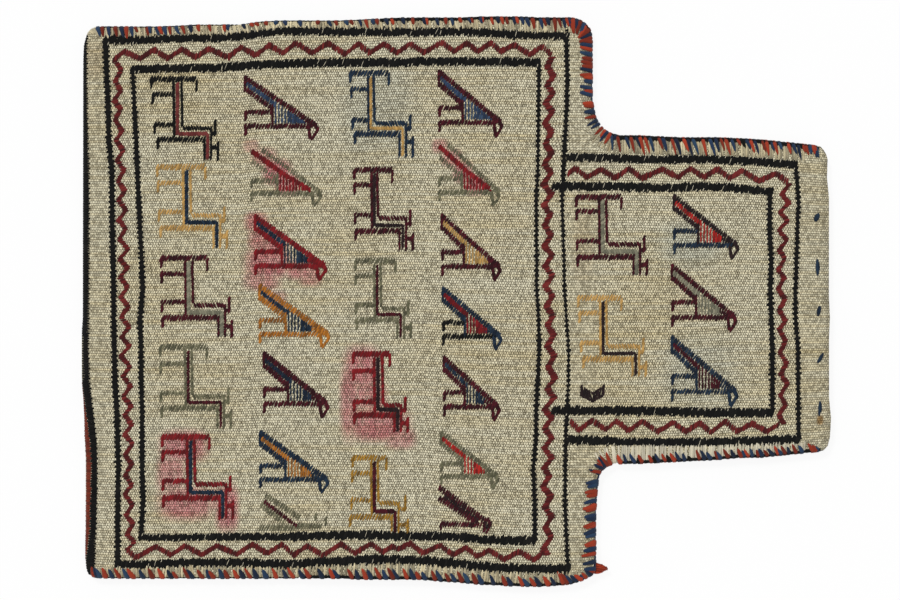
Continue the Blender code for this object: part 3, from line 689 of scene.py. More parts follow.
OCHRE = WoolYarn("ochre_wool_yarn", "gold_wool", screen(166, 102, 26), screen(132, 94, 46), 0.5, 1.1, spread=0.92)
MUSTARD = WoolYarn("mustard_wool_yarn", "gold_wool", screen(152, 112, 32), screen(114, 92, 46), 0.5, 1.1, spread=0.86)
SCARLET = WoolYarn("scarlet_wool_yarn", "crimson_wool", screen(158, 22, 16), screen(140, 44, 36), 0.4, 1.0)
SAGE = WoolYarn("sage_wool_yarn", "sage_wool", screen(98, 96, 72), screen(130, 124, 98), 0.5, 0.8, spread=0.86)
NAVY = WoolYarn("navy_wool_yarn", "navy_wool", screen(20, 36, 54), screen(46, 66, 78), 0.35, 0.9, sheen=0.07)
DENIM = WoolYarn("denim_wool_yarn", "navy_wool", screen(38, 58, 86), screen(72, 90, 102), 0.4, 0.8)
DARK = WoolYarn(
    "dark_brown_wool_yarn", "dark_brown_wool", screen(34, 20, 22), screen(60, 38, 38), 0.35, 0.7, sheen=0.06
)
BRICK = WoolYarn("brick_wool_yarn", "seam_red_wool", screen(112, 38, 16), screen(104, 54, 36), 0.4, 0.7)
FADED_RED = WoolYarn("faded_red_wool_yarn", "madder_wool", screen(108, 40, 38), screen(120, 66, 60), 0.5, 0.7)
ASH = WoolYarn("ash_wool_yarn", "sage_wool", screen(122, 120, 100), screen(148, 142, 120), 0.5, 0.7)
# Cream whipping yarn, darker and mottled: its darkness is partly painted shade from between the close seam stitches
SHADED_WHIPPING = WoolYarn("shaded_whipping_wool_yarn", "cream_wool", screen(200, 188, 154), screen(128, 112, 80), 0.8, 1.2)

GROUND = PlainWeave(
    "cream_ground_weave",
    # crown is the painted highlight of the weave's crowns, shadow the painted shade of its gaps
    crown=screen(252, 245, 214),
    shadow=screen(76, 67, 44),
    warm=screen(238, 222, 184),
    brown=screen(218, 190, 152),
    dye=screen(236, 158, 186),
    stain=screen(196, 160, 112),
    blued=screen(208, 222, 240),
    row_pitch=0.001875,
    crown_pitch=0.001785,
    runs=(
        DyeRun(184, 446, 28, 19, 1.0), DyeRun(171, 474, 17, 24, 0.8), DyeRun(186, 503, 32, 20, 0.95),
        DyeRun(227, 508, 14, 28, 1.0), DyeRun(206, 500, 22, 15, 0.65), DyeRun(362, 368, 22, 26, 0.95),
        DyeRun(350, 400, 12, 46, 0.85), DyeRun(378, 424, 36, 21, 1.0), DyeRun(370, 396, 20, 18, 0.85),
        DyeRun(400, 438, 19, 13, 0.75), DyeRun(256, 222, 14, 12, 0.85), DyeRun(262, 240, 17, 16, 0.85),
        DyeRun(276, 244, 14, 14, 1.0), DyeRun(268, 263, 27, 19, 1.0), DyeRun(301, 269, 21, 13, 0.85),
        DyeRun(262, 280, 22, 13, 0.75), DyeRun(310, 277, 14, 11, 0.7), DyeRun(276, 298, 13, 10, 0.5),
        DyeRun(251, 146, 10, 8, 0.5), DyeRun(264, 157, 15, 11, 0.65), DyeRun(277, 172, 17, 15, 1.0),
        DyeRun(287, 184, 14, 13, 1.0), DyeRun(440, 146, 10, 9, 0.65), DyeRun(452, 158, 12, 11, 0.7),
        DyeRun(463, 172, 12, 13, 0.85), DyeRun(475, 185, 12, 12, 1.0),
    ),
    stains=(DyeRun(820, 420, 4, 6, 0.9), DyeRun(96, 60, 16, 22, 0.25), DyeRun(583, 250, 12, 40, 0.2)),
    blues=(DyeRun(378, 110, 44, 58, 0.36), DyeRun(690, 245, 38, 26, 0.5), DyeRun(700, 372, 44, 44, 0.35)),
)


# Stitches

class Stitch:
    """One wrapped stitch of yarn, modelled once: a short round-backed lump, flat where it lies on the cloth."""

    def __init__(self, sides: int = 6, rings: int = 5, belly: float = 0.55) -> None:
        """Models the stitch, along X and 2 long, 2 wide and 2 high before its belly is cut off.

        Args:
            sides: Sides round it.
            rings: Rings along it.
            belly: Where its belly is cut off.
        """
        deselect_all()
        bpy.ops.mesh.primitive_uv_sphere_add(segments=sides, ring_count=rings, radius=1.0, location=(0, 0, 0))
        made = bpy.context.object
        bpy.ops.object.mode_set(mode="EDIT")
        bpy.ops.mesh.select_all(action="SELECT")
        bpy.ops.transform.rotate(value=math.pi / 2, orient_axis="Y", center_override=(0, 0, 0))
        bpy.ops.mesh.bisect(plane_co=(0, 0, -belly), plane_no=(0, 0, 1), use_fill=True, clear_inner=True)
        bpy.ops.object.mode_set(mode="OBJECT")
        self.points = np.array([v.co for v in made.data.vertices])
        self.faces = [tuple(p.vertices) for p in made.data.polygons]
        bpy.data.objects.remove(made)


@dataclass
class Thread:
    """Stitches and lengths of one yarn that make one piece."""

    name: str
    yarn: WoolYarn
    shape: BagShape
    stitch: Stitch
    seed: int = 1
    points: list[np.ndarray] = field(default_factory=list)
    faces: list[tuple[int, ...]] = field(default_factory=list)
    shades: list[np.ndarray] = field(default_factory=list)
    count: int = 0

    def __post_init__(self) -> None:
        """Seeds the thread's own unevenness."""
        self.rng = np.random.default_rng(self.seed)

    def add(self, points: np.ndarray, faces: Iterable[Sequence[int]], shade: float) -> None:
        """Adds a closed form with one shade all over.

        Args:
            points: Its points in metres.
            faces: Its faces, numbered from 0.
            shade: Its shade.
        """
        self.faces.extend(tuple(i + self.count for i in face) for face in faces)
        self.points.append(points)
        self.shades.append(np.full(len(points), shade))
        self.count += len(points)

    def lay(self, x: float, y: float, lean: tuple[float, float], length: float, width: float,
            high: float = 1.3) -> None:
        """Lays one stitch on the front.

        Args:
            x: Its middle along the chart.
            y: Its middle across the chart.
            lean: The way that it runs on the chart.
            length: Its length in squares.
            width: Its width in squares.
            high: Its height in squares.
        """
        size = math.hypot(*lean)
        ax, ay = lean[0] / size, -lean[1] / size
        uneven = self.rng.normal(0, 1, 5)
        length *= 1 + 0.08 * uneven[0]
        width *= (1 + 0.10 * uneven[1]) * self.yarn.spread
        turn = 0.07 * uneven[2]
        ax, ay = ax - ay * turn, ay + ax * turn
        half, wide, tall = length * SQUARE / 2, width * SQUARE / 2, high * SQUARE / 2
        middle_x, middle_y = x + 0.12 * uneven[3], y + 0.12 * uneven[4]
        rise = self.shape.front(
            np.array([middle_x + ax * length / 2, middle_x - ax * length / 2, middle_x]),
            np.array([middle_y - ay * length / 2, middle_y + ay * length / 2, middle_y]),
        )
        slope = (rise[0] - rise[1]) / 2
        base = self.stitch.points
        px = float(chart_x(middle_x)) + base[:, 0] * ax * half - base[:, 1] * ay * wide
        py = float(chart_y(middle_y)) + base[:, 0] * ay * half + base[:, 1] * ax * wide
        pz = rise.mean() + base[:, 0] * slope + (base[:, 2] + 0.25) * tall
        self.add(np.stack([px, py, pz], 1), self.stitch.faces, float(self.rng.uniform(0, 1)))

    def row(self, x0: float, x1: float, y: float, tall: float = 7.0, pitch: float = 2.9, lean: float = 0.52,
            width: float = 2.6) -> None:
        """A row of slanted stitches along the chart, from x0 to x1 about y.

        Args:
            x0: Its start.
            x1: Its end.
            y: Its middle across the chart.
            tall: How tall it is.
            pitch: From stitch to stitch.
            lean: How the stitches lean.
            width: How wide each is.
        """
        count = max(1, round((x1 - x0) / pitch))
        for k in range(count):
            self.lay(x0 + (k + 0.5) * (x1 - x0) / count, y + self.rng.normal(0, 0.25), (lean, -1.0), tall * 1.12, width)

    def column(self, x: float, y0: float, y1: float, width: float = 2.4, drift: float = 0.0, lean: float = 0.45,
               pitch: float = 2.5) -> None:
        """A column of stitches across the chart, from y0 to y1 about x, ending at x plus the drift.

        Args:
            x: Its middle along the chart.
            y0: Its start.
            y1: Its end.
            width: How wide it is.
            drift: How far it moves along the chart.
            lean: How the stitches lean.
            pitch: From stitch to stitch.
        """
        count = max(1, round((y1 - y0) / pitch))
        for k in range(count):
            share = (k + 0.5) / count
            self.lay(x + drift * share, y0 + (y1 - y0) * share, (lean, -1.0), pitch * 1.7 + width * 0.35, width * 1.12)

    def band(self, x0: float, x1: float, y: float, tall: float, pitch: float = 2.4, lean: float = 0.6) -> None:
        """A solid band of close slanted stitches.

        Args:
            x0: Its start.
            x1: Its end.
            y: Its middle across the chart.
            tall: How tall it is.
            pitch: From stitch to stitch.
            lean: How the stitches lean.
        """
        count = max(1, round((x1 - x0) / pitch))
        for k in range(count):
            self.lay(x0 + (k + 0.5) * (x1 - x0) / count, y, (lean, -1.0), tall * 1.25, pitch * 1.25)

    def slope(self, x0: float, y0: float, x1: float, y1: float, tall: float = 6.4, pitch: float = 2.4,
              lean: float = 0.45, width: float = 2.7) -> None:
        """A sloping line of stitches from one place to the other.

        Args:
            x0: Its start along the chart.
            y0: Its start across it.
            x1: Its end along the chart.
            y1: Its end across it.
            tall: How tall it is.
            pitch: From stitch to stitch.
            lean: How the stitches lean.
            width: How wide each is.
        """
        count = max(1, round(math.hypot(x1 - x0, y1 - y0) / pitch / 1.25))
        for k in range(count):
            share = (k + 0.5) / count
            self.lay(x0 + (x1 - x0) * share, y0 + (y1 - y0) * share, (lean, -1.0), tall, width)

    def tube(self, path: np.ndarray, radii: np.ndarray, flat: float = 1.0, sides: int = 6,
             up: np.ndarray | None = None, shade: float | None = None) -> None:
        """A length of yarn along a path of points.

        Args:
            path: The points, in metres.
            radii: The yarn's radius at each.
            flat: Its height as a share of its width.
            sides: How many sides it has.
            up: The way out of the cloth at each point, or None for straight up.
            shade: Its own shade, or None for one by chance.
        """
        ahead = np.gradient(path, axis=0)
        ahead /= np.linalg.norm(ahead, axis=1)[:, None] + 1e-12
        out = np.tile(UP, (len(path), 1)) if up is None else up
        side = np.cross(ahead, out)
        side /= np.linalg.norm(side, axis=1)[:, None] + 1e-12
        out = np.cross(side, ahead)
        turns = np.arange(sides) * 2 * math.pi / sides
        rings = (
            path[:, None, :]
            + side[:, None, :] * (np.cos(turns)[None, :, None] * radii[:, None, None])
            + out[:, None, :] * (np.sin(turns)[None, :, None] * radii[:, None, None] * flat)
        )
        faces: list[tuple[int, ...]] = []
        for i in range(len(path) - 1):
            for j in range(sides):
                k = (j + 1) % sides
                a, b = i * sides, (i + 1) * sides
                faces.append((a + j, b + j, b + k, a + k))
        faces.append(tuple(range(sides)))
        faces.append(tuple(reversed(range((len(path) - 1) * sides, len(path) * sides))))
        value = float(self.rng.uniform(0, 1)) if shade is None else shade
        self.add(rings.reshape(-1, 3), faces, value)

    def finish(self, *nodes: str) -> bpy.types.Object:
        """Makes the piece and dresses it.

        Args:
            nodes: The nodes of the frame that it stands for.

        Returns:
            The piece.
        """
        mesh = bpy.data.meshes.new(self.name)
        mesh.from_pydata(np.concatenate(self.points), [], self.faces)
        shade = mesh.attributes.new("shade", "FLOAT", "POINT")
        shade.data.foreach_set("value", np.concatenate(self.shades).astype(np.float32))
        mesh.update()
        piece = placed(mesh, self.yarn.material())
        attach(piece, "root")
        if nodes:
            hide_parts(*nodes)
        return piece


@dataclass(frozen=True)
class YarnWork:
    """What all the yarn work shares: the bag's shape and the one modelled stitch."""

    shape: BagShape
    stitch: Stitch

    def thread(self, name: str, yarn: WoolYarn, seed: int) -> Thread:
        """A new thread of the yarn."""
        return Thread(name, yarn, self.shape, self.stitch, seed)


# The cloth

@dataclass
class SaltBagCloth:
    """The one woven cloth, folded at the bottom of the bag and thick enough to be real."""

    shape: BagShape
    finish: PlainWeave
    half_row: float = 1.25
    body_columns: int = 60
    neck_columns: int = 25
    coarse: int = 5
    fold_steps: int = 10
    rib: float = 0.00026
    neck_edges: tuple[float, float] = (136.7, 462.5)
    mouth_edges: tuple[float, float] = (147.6, 450.4)
    shoulder_rows: tuple[float, float] = (134.0, 466.0)
    neck_starts: tuple[float, float] = (620.0, 615.0)
    fold_reads_at: float = 90.0
    body_bend: float = 0.12
    shoulder_bend: float = 0.25
    mouth_bend: float = 0.2
    corner_share: float = 0.8
    least_fold: float = 0.0006
    most_fold: float = 1.4

    def rows(self) -> tuple[np.ndarray, int, int]:
        """The rows' places across the chart at the shoulder, from the lower side up, and the neck's first and last.

        Returns:
            The places, and the numbers of the neck's first and last row.
        """
        lower = float(LOWER_SIDE.read(self.shape.shoulder)) - self.shape.seam_inset
        upper = float(UPPER_SIDE.read(self.shape.shoulder)) + self.shape.seam_inset
        count = int((lower - upper) / self.half_row)
        places = lower - (lower - upper) * np.arange(count + 1) / count
        last, first = (int(np.argmin(abs(places - edge))) for edge in self.neck_edges)
        return places, first, last

    def grid(self) -> tuple[np.ndarray, np.ndarray, np.ndarray, np.ndarray, int, int]:
        """Where every row and column cross.

        Returns:
            The crossings along and across the chart, the woven places along and across in metres, and the
            neck's first and last row.
        """
        rows, first, last = self.rows()
        shape = self.shape
        share = (rows[0] - rows) / (rows[0] - rows[-1])
        inset = shape.seam_inset
        ends = SHOULDER_ENDS.read(rows)
        corner = inset * self.corner_share
        ends = np.where(rows < self.shoulder_rows[0], SHOULDER_ENDS.read(rows - inset) - corner, ends)
        ends = np.where(rows > self.shoulder_rows[1], SHOULDER_ENDS.read(rows + inset) - corner, ends)
        fold_upper = float(UPPER_SIDE.read(self.fold_reads_at)) + inset
        fold_lower = float(LOWER_SIDE.read(self.fold_reads_at)) - inset
        starts = FOLD_STARTS.read(fold_lower - (fold_lower - fold_upper) * share)
        count = self.body_columns + self.neck_columns + 1
        x = np.zeros((len(rows), count))
        y = np.zeros((len(rows), count))
        u = np.zeros(count)
        for i in range(self.body_columns + 1):
            t = i / self.body_columns
            straight = shape.fold_line + (shape.shoulder - shape.fold_line) * t
            bend = self.body_bend
            x[:, i] = straight + (ends - shape.shoulder) * smooth(np.array((t - 1 + bend) / bend))
            x[:, i] += (starts - shape.fold_line) * (1 - smooth(np.array(t / bend)))
            u[i] = (straight - shape.fold_line) * SQUARE
            upper = UPPER_SIDE.read(x[:, i]) + shape.seam_inset
            lower = LOWER_SIDE.read(x[:, i]) - shape.seam_inset
            y[:, i] = lower - (lower - upper) * share
        neck = slice(first, last + 1)
        neck_share = (rows[first] - rows[neck]) / (rows[first] - rows[last])
        for i in range(1, self.neck_columns + 1):
            t = i / self.neck_columns
            column = self.body_columns + i
            straight = shape.shoulder + (shape.mouth - shape.shoulder) * t
            start = (ends[neck] - shape.shoulder) * (1 - smooth(np.array(t / self.shoulder_bend)))
            across = np.interp(neck_share, (0, 1), self.mouth_edges[::-1])
            rise = smooth(np.array((t - 1 + self.mouth_bend) / self.mouth_bend))
            end = (MOUTH_ENDS.read(across) - shape.mouth) * rise
            x[neck, column] = straight + start + end
            u[column] = (straight - shape.fold_line) * SQUARE
            upper = NECK_UPPER.read(np.maximum(x[neck, column], self.neck_starts[0])) + shape.seam_inset
            lower = NECK_LOWER.read(np.maximum(x[neck, column], self.neck_starts[1])) - shape.seam_inset
            y[neck, column] = lower - (lower - upper) * neck_share
        woven_x = np.tile(u, (len(rows), 1))
        woven_y = np.tile((rows[len(rows) // 2] - rows)[:, None] * SQUARE, (1, count))
        return x, y, woven_x, woven_y, first, last

    def build(self) -> bpy.types.Object:
        """The cloth as one closed mesh.

        Returns:
            The cloth.
        """
        x, y, u, v, first, last = self.grid()
        shape = self.shape
        rows, columns = x.shape
        body = self.body_columns
        index = np.arange(rows)
        ribbing = np.where(index % 2 == 0, self.rib / 2, -self.rib / 2)
        ribbing[[0, 1, -2, -1]] = 0.0
        ribbing[[first, last]] = 0.0
        front = shape.front(x, y)
        back = shape.back(x, y)
        layers: dict[str, tuple[np.ndarray, np.ndarray]] = {}
        points: list[np.ndarray] = []
        woven: list[np.ndarray] = []
        count = 0

        def put(name: str, z: np.ndarray, cols: np.ndarray, side: float) -> None:
            """Adds one layer's crossings and keeps their numbers.

            Args:
                name: The layer's name.
                z: The heights.
                cols: The columns that it has.
                side: 1 on the front and -1 on the back.
            """
            nonlocal count
            numbers = np.full((rows, columns), -1)
            for c in cols:
                part = slice(None) if c <= body else slice(first, last + 1)
                place = np.stack([chart_x(x[part, c]), chart_y(y[part, c]), z[part, c]], 1)
                numbers[part, c] = count + np.arange(len(place))
                points.append(place)
                woven.append(np.stack([u[part, c] * side, v[part, c]], 1))
                count += len(place)
            layers[name] = (numbers, cols)

        every = np.arange(columns)
        few = np.arange(0, columns, self.coarse)
        put("front", front + ribbing[:, None], every, 1.0)
        put("back", back - ribbing[:, None] * 0.5, every, -1.0)
        put("front_inner", front - shape.ply, few, 1.0)
        put("back_inner", back + shape.ply, few, -1.0)
        faces: list[tuple[int, ...]] = []
        for name, upward in (("front", True), ("back", False), ("front_inner", False), ("back_inner", True)):
            numbers, cols = layers[name]
            for a, b in zip(cols, cols[1:]):
                low, high = (0, rows - 1) if b <= body else (first, last)
                for r in range(low, high):
                    quad = (numbers[r, a], numbers[r, b], numbers[r + 1, b], numbers[r + 1, a])
                    faces.append(quad if upward else quad[::-1])
        self._fold(points, woven, layers, faces, count)
        self._rims(layers, faces, rows, first, last)
        mesh = bpy.data.meshes.new("salt_bag_cloth")
        mesh.from_pydata(np.concatenate(points), [], [tuple(int(i) for i in f) for f in faces])
        flat = np.concatenate(woven)
        layer = mesh.uv_layers.new(name="woven")
        corners = np.empty(len(mesh.loops), np.int32)
        mesh.loops.foreach_get("vertex_index", corners)
        layer.data.foreach_set("uv", flat[corners].astype(np.float32).ravel())
        piece = placed(mesh, self.finish.material())
        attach(piece, "root")
        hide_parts("front_cloth", "back_cloth", "fold_cloth")
        return piece

    def _fold(self, points: list[np.ndarray], woven: list[np.ndarray],
              layers: dict[str, tuple[np.ndarray, np.ndarray]], faces: list[tuple[int, ...]], count: int) -> None:
        """Joins the front to the back round the fold, outside and inside.

        Args:
            points: The points so far.
            woven: Their woven places.
            layers: Each layer's numbers.
            faces: The faces so far.
            count: How many points there are.
        """
        everything = np.concatenate(points)
        for upper, lower, inside in (("front", "back", False), ("front_inner", "back_inner", True)):
            top = everything[layers[upper][0][:, 0]]
            bottom = everything[layers[lower][0][:, 0]]
            centre = (top + bottom) / 2
            radius = (top[:, 2] - bottom[:, 2]) / 2
            edge = FOLD_EDGE.read(CHART_MIDDLE[1] - top[:, 1] / SQUARE)
            outer = top[:, 0] - chart_x(edge) - (self.shape.ply if inside else 0.0)
            depth = np.clip(outer, self.least_fold, radius * self.most_fold)
            before = layers[upper][0][:, 0]
            for step in range(1, self.fold_steps + 1):
                if step == self.fold_steps:
                    after = layers[lower][0][:, 0]
                else:
                    angle = math.pi * step / self.fold_steps
                    place = centre.copy()
                    place[:, 0] -= depth * math.sin(angle)
                    place[:, 2] += radius * math.cos(angle)
                    after = count + np.arange(len(place))
                    points.append(place)
                    reach = -math.pi * self.shape.middle * step / self.fold_steps
                    across = woven[0][:, 1]
                    woven.append(np.stack([np.full(len(place), reach), across], 1))
                    count += len(place)
                for r in range(len(before) - 1):
                    quad = (before[r], before[r + 1], after[r + 1], after[r])
                    faces.append(quad[::-1] if inside else quad)
                before = after

    def _rims(self, layers: dict[str, tuple[np.ndarray, np.ndarray]], faces: list[tuple[int, ...]], rows: int,
              first: int, last: int) -> None:
        """Closes each ply along its sewn sides, at the shoulders and at the mouth.

        Args:
            layers: Each layer's numbers.
            faces: The faces so far.
            rows: How many rows there are.
            first: The neck's first row.
            last: Its last row.
        """
        body = self.body_columns
        for name, inner_name in (("front", "front_inner"), ("back", "back_inner")):
            outer, _ = layers[name]
            inner, few = layers[inner_name]
            for a, b in zip(few, few[1:]):
                ends = (0, rows - 1) if b <= body else (first, last)
                for row in ends:
                    strip = [outer[row, c] for c in range(a, b + 1)]
                    faces.append(tuple(strip + [inner[row, b], inner[row, a]]))
            for r in list(range(0, first)) + list(range(last, rows - 1)):
                faces.append((outer[r, body], outer[r + 1, body], inner[r + 1, body], inner[r, body]))
            end = outer.shape[1] - 1
            for r in range(first, last):
                faces.append((outer[r, end], outer[r + 1, end], inner[r + 1, end], inner[r, end]))


# The figures

@dataclass(frozen=True)
class GoatFigure:
    """A goat seen from its side with its feet to the left.

    Its rows are the legs' middles across the chart, its body the range along it, its box the whole figure's.
    """

    node: str
    box: tuple[float, float, float, float]
    rows: tuple[float, float, float, float]
    body: tuple[float, float]
    outline: WoolYarn
    fill: WoolYarn
    head: tuple[float, float] | None = None
    thick: float = 2.8
    first_row: float = 13.5
    stagger: float = 0.2

    def build(self, work: YarnWork, seed: int) -> None:
        """Works the goat in its two yarns.

        Args:
            work: The bag's shape and stitch.
            seed: The seed of its unevenness.
        """
        left, right, _, bottom = self.box
        leg1, leg2, leg3, leg4 = self.rows
        back, belly = self.body
        line = work.thread(self.node + "_outline", self.outline, seed)
        fill = work.thread(self.node + "_fill", self.fill, seed + 500)
        head = self.head or (right - 14.5, right - 8.7)
        line.row(left, belly + self.first_row, leg1)
        starts = [left + drift * self.stagger for drift in (0.0, 1.5, 3.5, 6.5)]
        line.row(starts[1], back + 1.5, leg2, 5.8)
        line.row(starts[2], back + 1.5, leg3, 5.8)
        line.row(starts[3], head[0] + 1, leg4)
        for x, y in zip(starts, self.rows):
            line.column(x + 1.4, y + 1.5, y + 9.0, 2.4)
        line.column(belly + self.first_row + 0.8, leg1 + 0.5, leg1 + 12, 2.0)
        line.column(back + 1.0, leg1 + 3, leg4 - 3, 2.2, drift=0.8)
        line.column(belly - 0.8, leg1 + 3, leg3 + 1, 2.2, drift=0.8)
        middle = (back + belly) / 2
        fill.column(middle, leg1 + 4, leg4 - 5, self.thick, lean=0.8)
        line.row(belly + 0.5, head[1] + 0.5, leg3 + 3.4, 5.6, lean=-0.5)
        fill.band(middle + 0.5, head[0] + 3.5, leg4 - 5.6, self.thick + 1.5, 2.6, -0.5)
        line.column(head[0], leg4 + 1, bottom, 1.9)
        line.column(head[1] + 0.8, leg3 + 2.5, bottom, 1.9)
        fill.column((head[0] + head[1]) / 2 + 0.3, leg4 - 5, bottom - 1, self.thick * 0.9, lean=0.6)
        line.row(head[1] + 1, right - 2.5, leg3 + 9, 5.0, 2.5)
        line.column(right - 3.8, leg3 - 4.5, leg3 + 9.5, 2.3)
        line.row(head[1] + 1, right - 0.8, leg4 + 8, 5.6, 2.4)
        line.column(right - 1.2, leg4 + 2.5, bottom, 2.3)
        line.finish(self.node)
        fill.finish()


@dataclass(frozen=True)
class BirdFigure:
    """A bird with its tail at the upper left, its beak at the lower right and two legs to the left."""

    node: str
    box: tuple[float, float, float, float]
    outline: WoolYarn
    fill: WoolYarn
    legs: WoolYarn | None = None
    bold: bool = False
    close_from: float = 0.57
    reach: float = 0.74
    bulk: float = 1.0

    def build(self, work: YarnWork, seed: int) -> None:
        """Works the bird in its two yarns.

        Args:
            work: The bag's shape and stitch.
            seed: The seed of its unevenness.
        """
        left, right, top, bottom = self.box
        wide, tall = right - left, bottom - top

        def at(u: float, v: float) -> tuple[float, float]:
            """A place in the bird's box."""
            return left + u * wide, top + v * tall

        line = work.thread(self.node + "_outline", self.outline, seed)
        fill = work.thread(self.node + "_fill", self.fill, seed + 500)
        legs = work.thread(self.node + "_legs", self.legs, seed + 900) if self.legs else line
        if self.bold:
            line.slope(*at(0.16, 0.04), *at(1.0, 0.80), 5.6, 2.2, width=2.4)
            line.slope(*at(0.02, 0.24), *at(0.38, 0.55), 5.4, 2.4, width=2.2)
            fill.slope(*at(0.02, 0.07), *at(0.46, 0.46), 6.4, 2.0, width=2.4)
            fill.slope(*at(0.46, 0.46), *at(0.84, 0.74), 5.4, 2.0, width=2.4)
        else:
            line.slope(*at(0.015, 0.045), *at(0.97, 0.80), 6.8 * self.bulk, 2.1, 0.6, 2.6 * self.bulk)
            line.column(at(0.015, 0)[0], top + 1, top + 0.25 * tall, 2.4)
            line.slope(*at(0.03, 0.225), *at(0.38, 0.53), 6.6 * self.bulk, 2.1, 0.6, 2.6 * self.bulk)
            line.slope(*at(self.reach - 0.02, 0.70), *at(0.93, 0.80), 5.2, 2.0, 0.6, 2.4)
            fill.slope(*at(0.03, 0.13), *at(0.42, 0.465), 6.2, 2.0, width=2.6)
        legs.row(left, at(0.38, 0)[0], at(0, 0.58)[1], 6.0)
        legs.column(left + 1.6, at(0, 0.60)[1], at(0, 0.70)[1], 2.5)
        line.column(at(0.38, 0)[0], at(0, 0.46)[1], at(0, 0.80)[1], 2.0)
        legs.row(left, at(0.90, 0)[0], at(0, 0.80)[1], 6.2)
        legs.column(left + 1.6, at(0, 0.83)[1], at(0, 0.93)[1], 2.5)
        start, end = at(0.415, 0)[0], at(self.reach, 0)[0]
        foot = at(0, 0.755)[1]
        x = start
        while x < end:
            share = (x - left) / wide
            close = 2.3 if share > self.close_from else 3.2
            roof = top + (0.045 + 0.812 * share) * tall + 2.0
            length = max(foot - roof, 2.0)
            pieces = max(1, round(length / 6.0))
            for p in range(pieces):
                y = roof + length * (p + 0.5) / pieces
                fill.lay(x + 0.5, y, (0.08, -1.0), length / pieces * 1.25, 2.8 if close < 3 else 1.9)
            x += close
        line.column(at(0.86, 0)[0], at(0, 0.80)[1], bottom - 1, 2.8, drift=1.6)
        line.slope(*at(0.93, 0.75), *at(0.99, 0.87), 6.6, 1.6, 0.1, 3.2)
        line.slope(*at(0.985, 0.86), *at(0.90, 1.0), 6.0, 1.7, 0.6, 2.8)
        line.finish(self.node)
        fill.finish()
        if self.legs:
            legs.finish()


@dataclass(frozen=True)
class ShortBird:
    """A bird that the lower border cuts short: its strokes, each from one place to another and how tall."""

    node: str
    outline: WoolYarn
    fill: WoolYarn
    strokes: tuple[tuple[float, float, float, float, float], ...]
    filled: tuple[tuple[float, float, float, float, float], ...]

    def build(self, work: YarnWork, seed: int) -> None:
        """Works the bird in its two yarns.

        Args:
            work: The bag's shape and stitch.
            seed: The seed of its unevenness.
        """
        fill = work.thread(self.node + "_fill", self.fill, seed + 500)
        line = work.thread(self.node + "_outline", self.outline, seed)
        for thread, strokes in ((fill, self.filled), (line, self.strokes)):
            for x0, y0, x1, y1, tall in strokes:
                thread.slope(x0, y0, x1, y1, tall, 2.1, 0.5, 2.4)
        fill.finish()
        line.finish(self.node)


